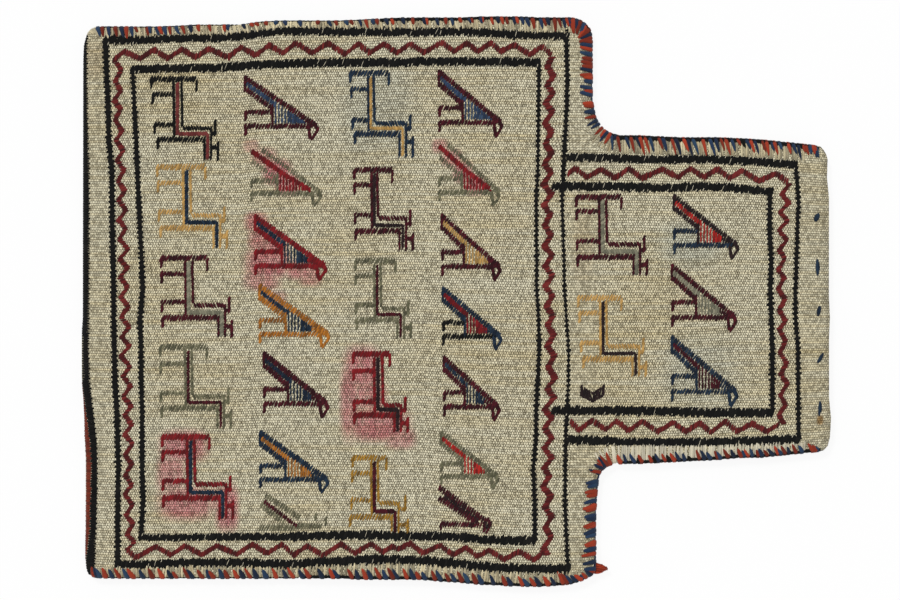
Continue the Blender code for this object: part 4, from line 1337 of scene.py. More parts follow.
def figures() -> tuple[GoatFigure | BirdFigure | ShortBird, ...]:
    """Every figure on the bag, by columns from the fold to the mouth.

    Returns:
        The figures.
    """
    return (
        GoatFigure("goat_1", (150, 219, 76, 160), (79.2, 94.3, 124.7, 139.5), (172.6, 182.4), BLACK, FADED_RED,
                   stagger=1.0),
        GoatFigure("goat_2", (156, 228, 162, 248), (167, 183, 212, 228), (182, 191), GOLD, NAVY, stagger=0.5),
        GoatFigure("goat_3", (160, 233, 253, 337), (258, 274, 302, 318), (184, 193), MAROON, ASH, thick=3.3),
        GoatFigure("goat_4", (159, 232, 345, 428), (347, 364, 393, 408), (184, 192.4), SAGE, MAROON, thick=1.9),
        GoatFigure("goat_5", (161, 234, 430, 519), (437, 452, 481, 498), (186, 195), CRIMSON, NAVY),
        BirdFigure("bird_1", (244, 319, 75, 139), MAROON, DENIM, close_from=0.58, reach=0.83),
        BirdFigure("bird_2", (250, 322, 147, 205), SAGE, CRIMSON, bold=True, close_from=0.72, reach=0.84),
        BirdFigure("bird_3", (254, 327, 214, 279), CRIMSON, NAVY),
        BirdFigure("bird_4", (258.5, 330, 283.5, 347), OCHRE, NAVY, bulk=1.06),
        BirdFigure("bird_5", (263, 329, 351, 417), MAROON, NAVY, bulk=1.08),
        BirdFigure("bird_6", (259, 329, 430, 492), NAVY, OCHRE, bulk=1.08),
        ShortBird("bird_7", SAGE, MAROON, (
            (265, 495, 300, 518, 7.0), (261, 504, 284, 523, 7.5), (259, 527.5, 296, 528, 8.0),
            (297, 526, 322, 526.5, 8.0), (315.5, 513, 315.5, 520, 5.0), (326, 518, 325.5, 525, 5.5),
        ), ((264, 501.5, 297, 526.5, 5.4),)),
        GoatFigure("goat_6", (349, 414, 70, 157), (73, 89, 120, 134), (367, 374.4), NAVY, GOLD, thick=2.0,
                   stagger=0.7),
        GoatFigure("goat_7", (353, 414, 168, 250), (170, 185, 215, 231), (370.4, 378), MAROON, DARK, thick=2.3),
        GoatFigure("goat_8", (354, 412, 259, 338), (261, 276, 305, 320), (373, 381.2), SAGE, MAROON, thick=1.8),
        GoatFigure("goat_9", (352, 409, 352, 432), (354, 371, 402, 415), (373, 383), CRIMSON, DARK, first_row=6.0),
        GoatFigure("goat_10", (351.5, 409, 456, 533), (458, 473, 500, 517), (370, 378.5), MUSTARD, MAROON,
                   (391.8, 397.8), first_row=7.0, stagger=-0.4),
        BirdFigure("bird_8", (438, 503, 69, 136), MAROON, DENIM, close_from=0.55, reach=0.83),
        BirdFigure("bird_9", (438, 500, 142, 205), SAGE, CRIMSON, bold=True, close_from=0.72, reach=0.84),
        BirdFigure("bird_10", (441, 501, 213, 280), MAROON, GOLD, reach=0.79),
        BirdFigure("bird_11", (442, 502, 286, 349), NAVY, CRIMSON, legs=BLACK),
        BirdFigure("bird_12", (443, 500, 355, 420), MAROON, NAVY),
        BirdFigure("bird_13", (440, 499, 430, 488), SAGE, SCARLET),
        ShortBird("bird_14", MAROON, DARK, (
            (438.5, 487, 486, 521.5, 7.6), (438.5, 498, 478, 523, 7.4), (440, 524, 482, 525, 7.2),
            (441, 524, 441, 530, 4.5), (484, 521, 484.5, 532, 5.5), (487, 518.5, 491, 525, 6.0),
            (490.5, 525, 486, 533, 5.6),
        ), ((444, 496, 478, 520, 7.4), (484, 521, 489, 529, 6.0))),
        GoatFigure("goat_11", (575, 648, 194, 275), (197, 211, 241, 257), (598, 607), MAROON, ASH, thick=3.2),
        GoatFigure("goat_12", (577, 647, 295, 376), (298, 313, 343, 359), (599, 607), GOLD, DARK, thick=2.3,
                   stagger=0.8),
        BirdFigure("bird_15", (673, 739, 194, 258), DARK, SCARLET, legs=NAVY),
        BirdFigure("bird_16", (671, 737, 263, 331), MAROON, ASH),
        BirdFigure("bird_17", (671, 738, 335, 406), NAVY, MAROON),
    )


@dataclass(frozen=True)
class HoofMark:
    """The small mark of two strokes that meet in a point, low in the neck."""

    left: float = 581
    right: float = 604
    top: float = 385
    bottom: float = 403

    def build(self, work: YarnWork) -> None:
        """Works the mark.

        Args:
            work: The bag's shape and stitch.
        """
        line = work.thread("hoof_mark_strokes", DARK, 77)
        middle = (self.left + self.right) / 2
        for side in (-1.0, 1.0):
            for k in range(5):
                share = (k + 0.5) / 5
                x = middle + side * (0.4 + share * 10.6)
                low = self.bottom - 1.0 - share * 7.2
                high = self.top + 7.6 - share * 7.0
                line.lay(x, (low + high) / 2, (0.12 * side, -1.0), low - high + 2.0, 2.1)
            line.slope(middle, self.bottom - 2.2, middle + side * 10.8, self.bottom - 7.8, 4.6, 1.8, 0.3 * side, 2.6)
            line.slope(middle, self.top + 8.6, middle + side * 8.5, self.top + 3.4, 4.0, 1.9, 0.3 * side, 2.1)
        line.column(self.left + 0.6, self.top + 0.5, self.top + 10.5, 2.4)
        line.column(self.right - 0.6, self.top + 0.5, self.top + 10.5, 2.4)
        line.finish("hoof_mark")


# The borders

BODY_OUTER_TOP = ChartLine((
    (105, 40), (145, 40), (180, 38), (215, 38), (250, 35), (285, 30.5), (320, 31.5), (355, 31.5), (390, 32),
    (425, 32), (460, 31.5), (495, 33), (530, 35.5), (566, 36),
))
BODY_OUTER_BOTTOM = ChartLine((
    (117, 564), (145, 564), (180, 562.5), (250, 562.5), (285, 564), (320, 562), (355, 560), (390, 559), (425, 560.5),
    (460, 564), (495, 567.5), (530, 568.5), (568, 569),
))
BODY_OUTER_LEFT = ChartLine((
    (38, 105), (50, 105.5), (80, 106.5), (110, 108), (140, 108.5), (170, 111.5), (230, 112), (290, 113.5),
    (320, 113.5), (350, 114), (380, 114.5), (410, 116.5), (470, 118), (500, 117.5), (564, 117.5),
))
BODY_OUTER_RIGHT = ChartLine((
    (36, 566), (50, 566), (80, 567), (110, 566), (140, 564.5), (200, 561.5), (260, 563.5), (290, 564), (320, 566),
    (350, 568), (380, 568), (440, 565), (500, 564.5), (530, 565.5), (569, 567.5),
))
BODY_INNER_TOP = ChartLine((
    (132, 69), (180, 68.5), (215, 68), (250, 65), (285, 63.5), (320, 62.5), (390, 62.5), (425, 61.5), (495, 61.5),
    (537, 62.5),
))
BODY_INNER_BOTTOM = ChartLine((
    (141, 537), (180, 537.5), (215, 536.5), (285, 536.5), (320, 535.5), (355, 534.5), (390, 535.5), (425, 535.5),
    (460, 537), (495, 540), (530, 540.5), (534, 540.5),
))
BODY_INNER_LEFT = ChartLine((
    (69, 132.5), (110, 134.5), (140, 136), (200, 138.5), (260, 141.5), (290, 142.5), (320, 140), (350, 141),
    (380, 141), (410, 142), (470, 142), (500, 143), (537, 141),
))
BODY_INNER_RIGHT = ChartLine((
    (62, 538), (80, 538), (170, 537), (200, 535.5), (290, 536), (320, 538), (350, 538.5), (380, 537), (410, 535.5),
    (440, 535), (470, 532.5), (500, 534), (541, 534),
))
NECK_OUTER_TOP = ChartLine((
    (567, 157), (580, 157), (610, 157.5), (640, 159), (670, 159), (700, 158.5), (730, 160), (760, 161.5), (790, 164),
    (796, 164.5),
))
NECK_OUTER_BOTTOM = ChartLine((
    (568, 439), (580, 439.5), (610, 440.5), (640, 441.5), (670, 442), (700, 442), (730, 441.5), (760, 440),
    (797, 439),
))
NECK_OUTER_RIGHT = ChartLine(((164, 795), (200, 798), (230, 797), (290, 795), (320, 795), (350, 797.5), (440, 798)))
NECK_INNER_TOP = ChartLine((
    (552, 186.5), (610, 186.5), (640, 187.5), (670, 188), (700, 186.5), (730, 187.5), (760, 191), (770, 191.5),
))
NECK_INNER_BOTTOM = ChartLine(((552, 410), (610, 410), (670, 410.5), (700, 412), (760, 412), (772, 412)))
NECK_INNER_RIGHT = ChartLine((
    (191, 769.5), (230, 769.5), (260, 771), (290, 770), (320, 771), (350, 772), (412, 772),
))


@dataclass(frozen=True)
class BorderLine:
    """One black line: its path, where it starts and ends, its width in places, and whether it runs along the bag."""

    path: ChartLine
    start: float
    end: float
    wide: ChartLine
    along: bool = True
    shift: float = 0.0


def even(wide: float) -> ChartLine:
    """One width all the way."""
    return ChartLine(((0, wide), (1, wide)))


@dataclass(frozen=True)
class BorderLines(YarnWork):
    """The black lines that frame the body and the neck, with a few cream glints of ground between stitches."""

    pitch: float = 2.5

    def work(self, line: Thread, border: BorderLine) -> None:
        """A line in slanted stitches along the bag, or across it in level ones, every second one wider.

        Args:
            line: The thread.
            border: The line.
        """
        count = round((border.end - border.start) / self.pitch)
        for k in range(count):
            place = border.start + (k + 0.5) * (border.end - border.start) / count
            middle = float(border.path.read(place)) + border.shift
            wide = float(border.wide.read(place))
            if border.along:
                reach = wide * 1.30 + line.rng.normal(0, 0.6)
                line.lay(place, middle + line.rng.normal(0, 0.3), (0.36, -1.0), reach, 3.6)
            else:
                reach = wide + (1.8 if k % 2 else -1.1)
                line.lay(middle, place, (1.0, -0.22), reach, 3.7)

    def glints(self, line: Thread, border: BorderLine) -> None:
        """Thin cream hairs of the ground that show at the edges of a black line and here and there across it.

        Args:
            line: The thread.
            border: The line that they lie on.
        """
        for place in np.arange(border.start + 3, border.end - 2, 6.2):
            x = place + line.rng.uniform(-1.6, 1.6)
            side = line.rng.choice([-1.0, 1.0])
            middle = float(border.path.read(x)) + border.shift
            half = float(border.wide.read(x)) / 2
            if line.rng.uniform() < 0.12:
                line.lay(x, middle + side, (0.36, -1.0), line.rng.uniform(5.0, 8.0), 0.6, 3.0)
            else:
                y = middle + side * (half - line.rng.uniform(0.0, 1.2))
                line.lay(x, y, (0.36, -1.0), line.rng.uniform(2.2, 4.0), 0.8, 3.0)

    def build(self) -> None:
        """Works the four frames."""
        right = ChartLine((
            (22, 3.2), (36, 5.2), (120, 4.9), (170, 5.4), (215, 3.3), (385, 3.1), (410, 4.4), (569, 4.2),
        ))
        inner_right = ChartLine(((62, 5.4), (100, 4.0), (320, 3.8), (340, 5.0), (541, 4.9)))
        frames = (
            ("body_outer_lines", "body_outer_border", (
                BorderLine(BODY_OUTER_TOP, 104, 569, ChartLine(((104, 9.6), (150, 7.8), (480, 8.0), (569, 7.0)))),
                BorderLine(BODY_OUTER_BOTTOM, 115, 570, ChartLine(((115, 7.4), (250, 8.4), (400, 8.9))), True, 0.5),
                BorderLine(BODY_OUTER_LEFT, 38, 565, even(6.4), False, 0.3),
                BorderLine(BODY_OUTER_RIGHT, 22, 569, right, False, 0.5),
            )),
            ("body_inner_lines", "body_inner_border", (
                BorderLine(BODY_INNER_TOP, 131, 540, even(7.7), True, 0.1),
                BorderLine(BODY_INNER_BOTTOM, 139, 536, ChartLine(((139, 5.9), (250, 6.8), (340, 7.8))), True, 0.3),
                BorderLine(BODY_INNER_LEFT, 69, 538, ChartLine(((69, 4.6), (120, 5.6), (538, 6.0))), False, 0.1),
                BorderLine(BODY_INNER_RIGHT, 62, 541, inner_right, False, 0.8),
            )),
            ("neck_outer_lines", "neck_outer_border", (
                BorderLine(NECK_OUTER_TOP, 567, 797, even(7.4), True, 0.4),
                BorderLine(NECK_OUTER_BOTTOM, 567, 800, ChartLine(((567, 8.6), (640, 6.9), (700, 8.3))), True, 0.5),
                BorderLine(NECK_OUTER_RIGHT, 164, 440, even(4.8), False, 0.5),
            )),
            ("neck_inner_lines", "neck_inner_border", (
                BorderLine(NECK_INNER_TOP, 552, 772, even(7.5), True, -0.1),
                BorderLine(NECK_INNER_BOTTOM, 552, 774, even(8.1), True, 0.7),
                BorderLine(NECK_INNER_RIGHT, 190, 413, even(5.9), False, 0.3),
            )),
        )
        glints = self.thread("border_glints", CREAM, 41)
        for seed, (name, node, borders) in enumerate(frames):
            line = self.thread(name, BLACK, 20 + seed)
            for border in borders:
                self.work(line, border)
                if border.along:
                    self.glints(glints, border)
            line.finish(node)
        glints.finish()


ZIGZAG_TOP = (
    (113, 60.6), (124, 51.4), (140, 58.7), (154, 49.7), (168, 58.6), (182, 49.1), (195, 57.4), (209, 48.8),
    (228, 57.3), (241, 47.2), (256, 55.3), (269, 44.9), (283, 53.2), (296, 42.8), (312, 53.1), (328, 43.0),
    (345, 54.2), (358, 43.9), (370, 52.9), (384, 43.6), (397, 53.2), (410, 43.7), (424, 52.5), (442, 42.4),
    (454, 51.6), (467, 42.9), (478, 51.5), (491, 42.8), (501, 51.5), (514, 44.8), (530, 54.5), (542, 46.5),
    (552, 55),
)
ZIGZAG_BOTTOM = (
    (127, 549.5), (136, 557.5), (156, 546.5), (171, 554.9), (185, 545.7), (202, 554.9), (217, 545.7), (237, 554.4),
    (252, 544.1), (267, 553.3), (282, 544.3), (294, 555.1), (307, 545.9), (323, 555.3), (341, 543.8), (355, 553.4),
    (371, 543.7), (383, 552.4), (392, 546.3), (398, 549.4), (410, 543.1), (423, 553.4), (440, 545.2), (453, 555.0),
    (466, 547.6), (477, 556.5), (489, 550.1), (504, 559.5), (519, 551.4), (534, 560), (545, 551),
)
ZIGZAG_LEFT = (
    (60, 114.7), (70, 121.2), (81, 115.2), (91, 120.8), (100, 114.3), (109, 120.5), (120, 115.2), (131, 122.1),
    (140, 116.0), (151, 123.2), (160, 117.0), (170, 124.1), (181, 118.0), (191, 124.9), (200, 118.3), (210, 126.0),
    (220, 118.4), (229, 125.7), (239, 119.3), (249, 128.1), (259, 119.6), (268, 127.9), (277, 120.0), (287, 127.7),
    (297, 120.8), (307, 128.4), (317, 121.1), (327, 129.1), (337, 121.7), (346, 129.4), (356, 120.8), (367, 130.0),
    (376, 122.7), (386, 130.7), (397, 123.1), (406, 131.4), (415, 124.4), (425, 132.0), (434, 124.3), (444, 132.4),
    (455, 124.8), (464, 131.9), (475, 125.1), (485, 131.8), (494, 124.8), (505, 132.5), (515, 125.9), (524, 133.2),
    (534, 126.8), (542, 134.6), (550, 126.5),
)
ZIGZAG_RIGHT = (
    (57, 552.1), (66, 547.1), (76, 553.6), (85, 547.1), (93, 552.9), (103, 545.4), (112, 552.6), (123, 544.7),
    (132, 551.6), (144, 545.3), (153, 551.7), (164, 544.2), (173, 551.1), (184, 543.2), (194, 551.5), (205, 543.7),
    (215, 550.5), (225, 544.6), (235, 551.2), (246, 544.1), (255, 552.0), (266, 544.9), (276, 552.4), (286, 544.9),
    (296, 552.5), (306, 546.4), (316, 553.1), (325, 547.3), (335, 553.6), (346, 547.1), (356, 554.6), (367, 547.9),
    (378, 555.3), (388, 547.1), (398, 554.3), (409, 544.5), (418, 551.9), (428, 544.7), (438, 552.0), (448, 544.1),
    (458, 551.9), (468, 543.8), (476, 549.5), (487, 542.7), (496, 551.1), (507, 544.8), (517, 552.0), (527, 544.9),
    (537, 551.2), (549, 543.0), (555, 548.5),
)
ZIGZAG_NECK_TOP = (
    (568, 174), (575, 168.1), (587, 177.4), (601, 169.4), (615, 178.0), (629, 168.4), (642, 178.4), (662, 169.3),
    (678, 177.2), (690, 168.5), (704, 177.2), (717, 169.0), (730, 178.3), (742, 170.5), (759, 181.0), (776, 173.6),
    (788, 182),
)
ZIGZAG_NECK_BOTTOM = (
    (570, 421.0), (579, 430.3), (592, 420.5), (606, 429.6), (616, 421.0), (629, 430.7), (642, 421.1), (658, 431.7),
    (673, 422.4), (686, 431.8), (700, 422.8), (711, 432.7), (725, 421.2), (737, 431.5), (752, 423.6), (767, 431.7),
    (779, 424),
)
ZIGZAG_NECK_RIGHT = (
    (184, 789.4), (194, 781.6), (203, 788.9), (212, 780.0), (221, 787.6), (230, 778.9), (240, 786.7), (250, 779.1),
    (258, 784.7), (270, 778.3), (278, 784.4), (289, 778.0), (299, 785.2), (310, 779.3), (321, 785.6), (329, 779.2),
    (341, 785.6), (353, 779.9), (363, 786.6), (374, 780.7), (384, 787.1), (395, 780.3), (405, 785.4), (415, 778.9),
    (424, 784),
)


@dataclass(frozen=True)
class Zigzags(YarnWork):
    """The red zigzags round the body and the neck, each a ribbon of close stitches between its turns."""

    pitch: float = 1.9

    def work(self, line: Thread, turns: tuple[tuple[float, float], ...], along: bool, wide: float = 7.2) -> None:
        """Lays one run of zigzag through its turns, along the bag or across it and then as wide as given.

        Args:
            line: The thread.
            turns: The turns.
            along: Whether it runs along the bag.
            wide: How wide the ribbon is.
        """
        for (start, first), (end, last) in zip(turns, turns[1:]):
            count = max(2, round((end - start) / self.pitch))
            for k in range(count):
                share = (k + 0.5) / count
                place, drift = start + (end - start) * share, first + (last - first) * share
                if along and last < first:
                    line.lay(place, drift, (0.26, -1.0), wide + 0.6, 2.9)
                elif along:
                    line.lay(place, drift, (0.34, -1.0), wide, 2.7)
                else:
                    line.lay(drift, place, (1.0, -0.30), wide, 3.1)

    def build(self) -> None:
        """Works both zigzags."""
        body = self.thread("body_zigzag_stitches", MADDER, 31)
        self.work(body, ZIGZAG_TOP, True)
        self.work(body, ZIGZAG_BOTTOM, True, 6.8)
        self.work(body, ZIGZAG_LEFT, False, 6.5)
        self.work(body, ZIGZAG_RIGHT, False, 8.2)
        body.finish("body_zigzag")
        neck = self.thread("neck_zigzag_stitches", MADDER, 32)
        self.work(neck, ZIGZAG_NECK_TOP, True)
        self.work(neck, ZIGZAG_NECK_BOTTOM, True)
        self.work(neck, ZIGZAG_NECK_RIGHT, False, 6.6)
        neck.finish("neck_zigzag")


# The sewn sides

class SeamYarn(Enum):
    """The yarns of the sewn sides."""

    RED = "red"
    BLUE = "blue"
    BLACK = "black"
    CREAM = "cream"


R, B, K = SeamYarn.RED, SeamYarn.BLUE, SeamYarn.BLACK

TOP_RUN = (
    (95, B, 9), (102, R, 9), (108, B, 9), (114.5, R, 9), (121, B, 10), (126, R, 11), (131, B, 9), (135, R, 5),
    (146.5, R, 8), (149, B, 6), (156, B, 8), (159, R, 7), (163, B, 8), (168, R, 8), (175, B, 8), (181, R, 8),
    (188.5, B, 7), (196.5, R, 6), (209, R, 6), (223.5, R, 6), (227.5, B, 5), (240, B, 4), (248, R, 3), (253, R, 3),
    (265, R, 3), (274.6, B, 3), (285, B, 4), (300, B, 5), (318, R, 3), (329, B, 5), (336, R, 4), (345, B, 4),
    (349.5, R, 4), (359, B, 6), (364.5, R, 8), (371.6, B, 5), (376, R, 5), (385, B, 6), (391, R, 6), (403, B, 6),
    (413, R, 6), (423.5, B, 6), (427, R, 6), (436.7, B, 7), (445.5, R, 6), (451.7, B, 7), (459, R, 4), (468.5, B, 5),
    (471.5, R, 5), (480, B, 6), (483, R, 5), (491.4, R, 7), (497.5, B, 6), (502, R, 7), (507, R, 7), (513.4, B, 7),
    (517, R, 6), (522, B, 7), (527.5, B, 9), (532.8, R, 11), (540.8, B, 10), (543.8, R, 8), (548, B, 7),
    (555, R, 13), (559, R, 9), (563.7, B, 10), (567, R, 8), (571, B, 9), (576, R, 10),
)
BOTTOM_RUN = (
    (85.5, R, 7), (88.5, R, 8), (92.5, B, 8), (97, B, 8), (104.7, R, 9), (110.9, B, 8),
    (118, R, 9), (126.7, B, 9), (133, R, 9), (142.6, B, 8),
    (152.3, R, 9), (162, R, 9), (170.8, B, 8), (176, R, 6), (187.6, R, 10), (192, B, 8), (201.7, R, 8), (208.7, B, 8),
    (213, R, 7), (222, B, 9), (227, R, 8), (237, R, 8), (243, B, 8), (250, R, 9), (256, B, 9), (266, B, 8),
    (275.8, R, 9), (286, B, 8), (293, R, 10), (302.6, B, 8), (308.8, R, 9), (322, B, 9), (332.6, R, 9), (338, B, 8),
    (351, R, 9), (357, B, 9), (366, R, 10), (370.5, B, 9), (380, R, 11), (385.5, B, 9), (392.6, R, 11), (398, B, 10),
    (406.7, R, 10), (413.7, B, 10), (418.5, R, 7), (423, B, 7), (433, R, 9), (440, B, 10), (448, R, 8), (454, B, 8),
    (460, R, 10), (466.6, B, 9), (474.6, R, 10), (480.7, B, 9), (493, B, 9), (504.6, R, 9), (509.6, B, 8),
    (523, R, 9), (527.8, B, 7), (535, R, 8), (540, B, 9), (549.4, R, 9), (555, B, 8), (565.6, R, 13), (569.6, R, 11),
    (574, B, 9), (583, B, 8), (588, R, 7),
)
NECK_TOP_RUN = (
    (617.5, B, 14), (621, R, 15), (626, B, 12), (631, R, 16), (635.5, B, 12), (640, R, 18), (646, R, 16),
    (650.6, B, 14), (660, R, 12), (663.5, B, 14), (672.3, R, 16), (676.5, B, 17), (683.7, R, 13), (688, B, 18),
    (693, B, 16), (702.6, R, 17), (710, B, 17), (716, B, 13), (722, R, 12), (727, R, 16), (733, B, 12), (738.5, R, 6),
    (743, K, 8), (748, B, 9), (751.5, R, 13), (756, B, 14), (765, R, 11), (769, R, 14), (773.4, B, 9), (777, R, 12),
    (782, B, 7), (791, R, 10), (796, B, 10), (800.5, B, 15), (806, R, 7), (810, R, 9), (814, B, 8), (817, R, 8),
    (820.5, R, 7), (823.5, B, 9), (825.5, B, 10), (827, B, 9),
)
NECK_BOTTOM_RUN = (
    (614, B, 9), (621, R, 8), (626, B, 9), (634.6, B, 9), (640, K, 5), (643, R, 8), (652.5, R, 7), (657, K, 6),
    (660, B, 8), (667, R, 8), (671, K, 6), (676, R, 8), (681, B, 9), (686, B, 7), (692, K, 4), (700.7, R, 10),
    (706, B, 9), (712, B, 7), (718.6, R, 8), (723, B, 7), (731, R, 9), (737, B, 8), (742, R, 8), (745, B, 6),
    (749, R, 7), (753, B, 8), (759, R, 7), (765, B, 8), (770, R, 6), (776, B, 7), (781, R, 9), (784, B, 6),
    (788, R, 8), (792, B, 7), (799, R, 9), (805.5, B, 7), (816, R, 8), (820, R, 6), (823, B, 4),
)
UPPER_CORNER_RUN = (
    (570, 14, R, 12), (574, 14, R, 14), (579, 15, B, 10), (583, 17, R, 13), (587, 20, B, 9), (590, 23, R, 14),
    (593, 28, R, 12), (595, 33, B, 11), (596, 37, R, 12),
)
UPPER_SHOULDER_RUN = (
    (41, R, 10), (45.5, B, 11), (49.5, R, 11), (54.5, B, 11), (59.5, R, 9), (63.5, R, 10), (66, R, 9), (70, B, 11),
    (75.5, R, 11), (77.5, R, 8), (81, B, 7), (88.5, B, 11), (91.5, R, 7), (94, B, 11), (101, R, 9), (104, R, 8),
    (109, B, 9),
)
UPPER_ARMPIT_RUN = (
    (597, 115.5, R, 10), (599, 119, B, 11), (602, 122, B, 9), (605, 125, R, 10), (607.5, 127, R, 8),
    (609, 128.5, B, 12), (612, 130, R, 12), (617, 131, B, 5),
)
LOWER_SHOULDER_RUN = (
    (474, R, 10), (478, R, 9), (483, B, 11), (486, B, 9), (493.5, R, 11), (496.5, R, 9), (501.5, B, 11),
    (506, R, 12), (509, R, 9), (516, B, 10), (519, B, 8), (523.5, R, 11), (526, R, 9), (531, B, 11), (535, B, 9),
    (542.5, R, 10), (545, R, 9), (549, B, 11), (554, R, 13), (562, B, 12), (571, B, 10),
)
LOWER_CORNER_RUN = (
    (597, 574, R, 7), (595, 577, B, 9), (592, 579, B, 9), (588, 581, R, 6), (584, 583, B, 5),
)
LOWER_ARMPIT_RUN = (
    (601, 474, B, 11), (603, 470, R, 8), (605, 467, B, 12), (608, 466, R, 12), (611, 465, R, 13),
)


SideRun = tuple[tuple[float, SeamYarn, float], ...]
PlacedRun = tuple[tuple[float, float, SeamYarn, float], ...]


def run_along(y: float, run: SideRun) -> PlacedRun:
    """A run of stitches along the bag, each with its place across it too."""
    return tuple((x, y, yarn, reach) for x, yarn, reach in run)


def run_across(x: float, run: SideRun) -> PlacedRun:
    """A run of stitches across the bag, each with its place along it too."""
    return tuple((x, y, yarn, reach) for y, yarn, reach in run)


@dataclass(frozen=True)
class OvercastSeam(YarnWork):
    """The overcast sides: cream whipping over the edge, and red, blue and black yarn sewn over that."""

    back_reach: float = 6.0
    fine_tip: float = 0.65
    blunt_tip: float = 1.2
    overcast_lift: float = 0.95
    thick_cord: float = 1.4
    short_of_line: float = 3.4
    whip_reach: tuple[float, float] = (3.5, 17.0)
    edge_steps: tuple[tuple[float, float, float], ...] = ((0.0060, 0.8, 0.3), (0.00445, 1.0, 0.0), (0.0029, 0.8, -0.3))

    def wrap(self, thread: Thread, seam: SeamLine, index: int, reach: float, slant: float, base: float, tip: float,
             lift: float) -> None:
        """One stitch from its tip on the front over the edge to the back.

        Args:
            thread: The yarn that it is worked in.
            seam: The side that it is on.
            index: The point of the side where its base stands.
            reach: How far in its tip lies, in squares.
            slant: How far along its tip lies from its base, in squares.
            base: Its radius at the edge, in squares.
            tip: Its radius at the tip, in squares.
            lift: How high it stands off the cloth, in squares.
        """
        here, inward, along = seam.line[index], seam.inward[index], seam.ahead[index]
        shape = self.shape
        path, out, radii = [], [], []
        inward3 = np.array([inward[0], -inward[1], 0.0])
        sway = thread.rng.normal(0, 0.35)
        for share in (1.0, 0.74, 0.48, 0.24, 0.06):
            bow = sway * math.sin(share * 2.6)
            spot = here + inward * reach * share + along * (slant * share + bow)
            z = float(shape.front(spot[0], spot[1])) + lift * SQUARE * (0.35 if share == 1.0 else 1.0)
            path.append(chart_point(*spot, z))
            out.append(UP if share > 0.1 else tuple(-inward3 * 0.6 + np.array([0, 0, 0.8])))
            radii.append(tip + (base - tip) * (1 - share) ** 0.6)
        outward = 0.3 + lift
        for z, far, tilt in self.edge_steps:
            spot = here - inward * outward * far
            path.append(chart_point(*spot, z))
            out.append(tuple(-inward3 + np.array([0, 0, tilt])))
            radii.append(base * 0.95)
        for share in (0.1, 0.5, 1.0):
            spot = here + inward * self.back_reach * share - along * slant * share * 0.5
            z = float(shape.back(spot[0], spot[1])) - lift * SQUARE * 0.5
            thin = base * (0.85 - 0.4 * share)
            path.append(chart_point(*spot, max(z, thin * SQUARE * 0.65)))
            out.append(DOWN)
            radii.append(thin)
        thread.tube(np.array(path), np.array(radii) * SQUARE, 0.5, 6, np.array(out))

    def cord(self, thread: Thread, seam: SeamLine, start: int, end: int, radius: float) -> None:
        """The thread that runs along the very edge, with a flat strip over the whipping where it is thick.

        Args:
            thread: The thread.
            seam: The side that it is on.
            start: The point of the side where it starts.
            end: The point where it ends.
            radius: Its radius in squares.
        """
        numbers = np.arange(start, end, 2)
        if radius > self.thick_cord:
            spots = seam.line[numbers] + seam.inward[numbers] * (radius - 1.0)
            rise = self.shape.front(spots[:, 0], spots[:, 1]) + 0.8 * SQUARE
            over = np.stack([chart_x(spots[:, 0]), chart_y(spots[:, 1]), rise], 1)
            up = np.tile(UP, (len(over), 1))
            thin = (radius + thread.rng.normal(0, 0.22, len(numbers))) * SQUARE
            thread.tube(over, thin, 0.6 / radius, 8, up, 0.5)
        line = seam.line[numbers] - seam.inward[numbers] * (1.75 - radius)
        path = np.stack([chart_x(line[:, 0]), chart_y(line[:, 1]), np.full(len(line), self.shape.middle + 0.0004)], 1)
        radii = (radius + 0.18 * np.sin(numbers * 1.9) + thread.rng.normal(0, 0.1, len(numbers))) * SQUARE
        out = np.tile(UP, (len(path), 1))
        thread.tube(path, radii, 3.0 / radius, 8, out, 0.5)

    def whipping(self) -> None:
        """The cream stitches, side by side over the edge and in to the outer line, mostly in a darker cream whose
        darkness is partly painted shade.
        """
        # The darker cream paints part of the shade between the close whips; the neck's lower side keeps the plain cream
        cream = self.thread("seam_shaded_cream_whipping", SHADED_WHIPPING, 51)
        pale = self.thread("neck_cream_whipping", CREAM, 59)
        upper, lower = self.shape.upper, self.shape.lower
        for thread, seam, first, last, pitch, line in (
            (cream, upper, (88, 30), (586, 22), 2.75, BODY_OUTER_TOP),
            (cream, upper, (603, 127), (803, 144), 2.7, NECK_OUTER_TOP),
            (cream, lower, (98, 578), (590, 578), 2.9, BODY_OUTER_BOTTOM),
            (pale, lower, (605, 468), (806, 454), 2.35, NECK_OUTER_BOTTOM),
        ):
            start, end = seam.nearest(*first), seam.nearest(*last)
            for place in np.arange(start, end, pitch):
                index = int(round(place + cream.rng.normal(0, 0.35)))
                x, y = seam.line[index]
                reach = abs(float(line.read(x)) - y) - self.short_of_line + cream.rng.normal(0, 0.9)
                reach = max(self.whip_reach[0], min(reach, self.whip_reach[1]))
                self.wrap(thread, seam, index, reach, cream.rng.normal(0.9, 0.8), 1.25, 1.0, 0.25)
        cream.finish()
        pale.finish()

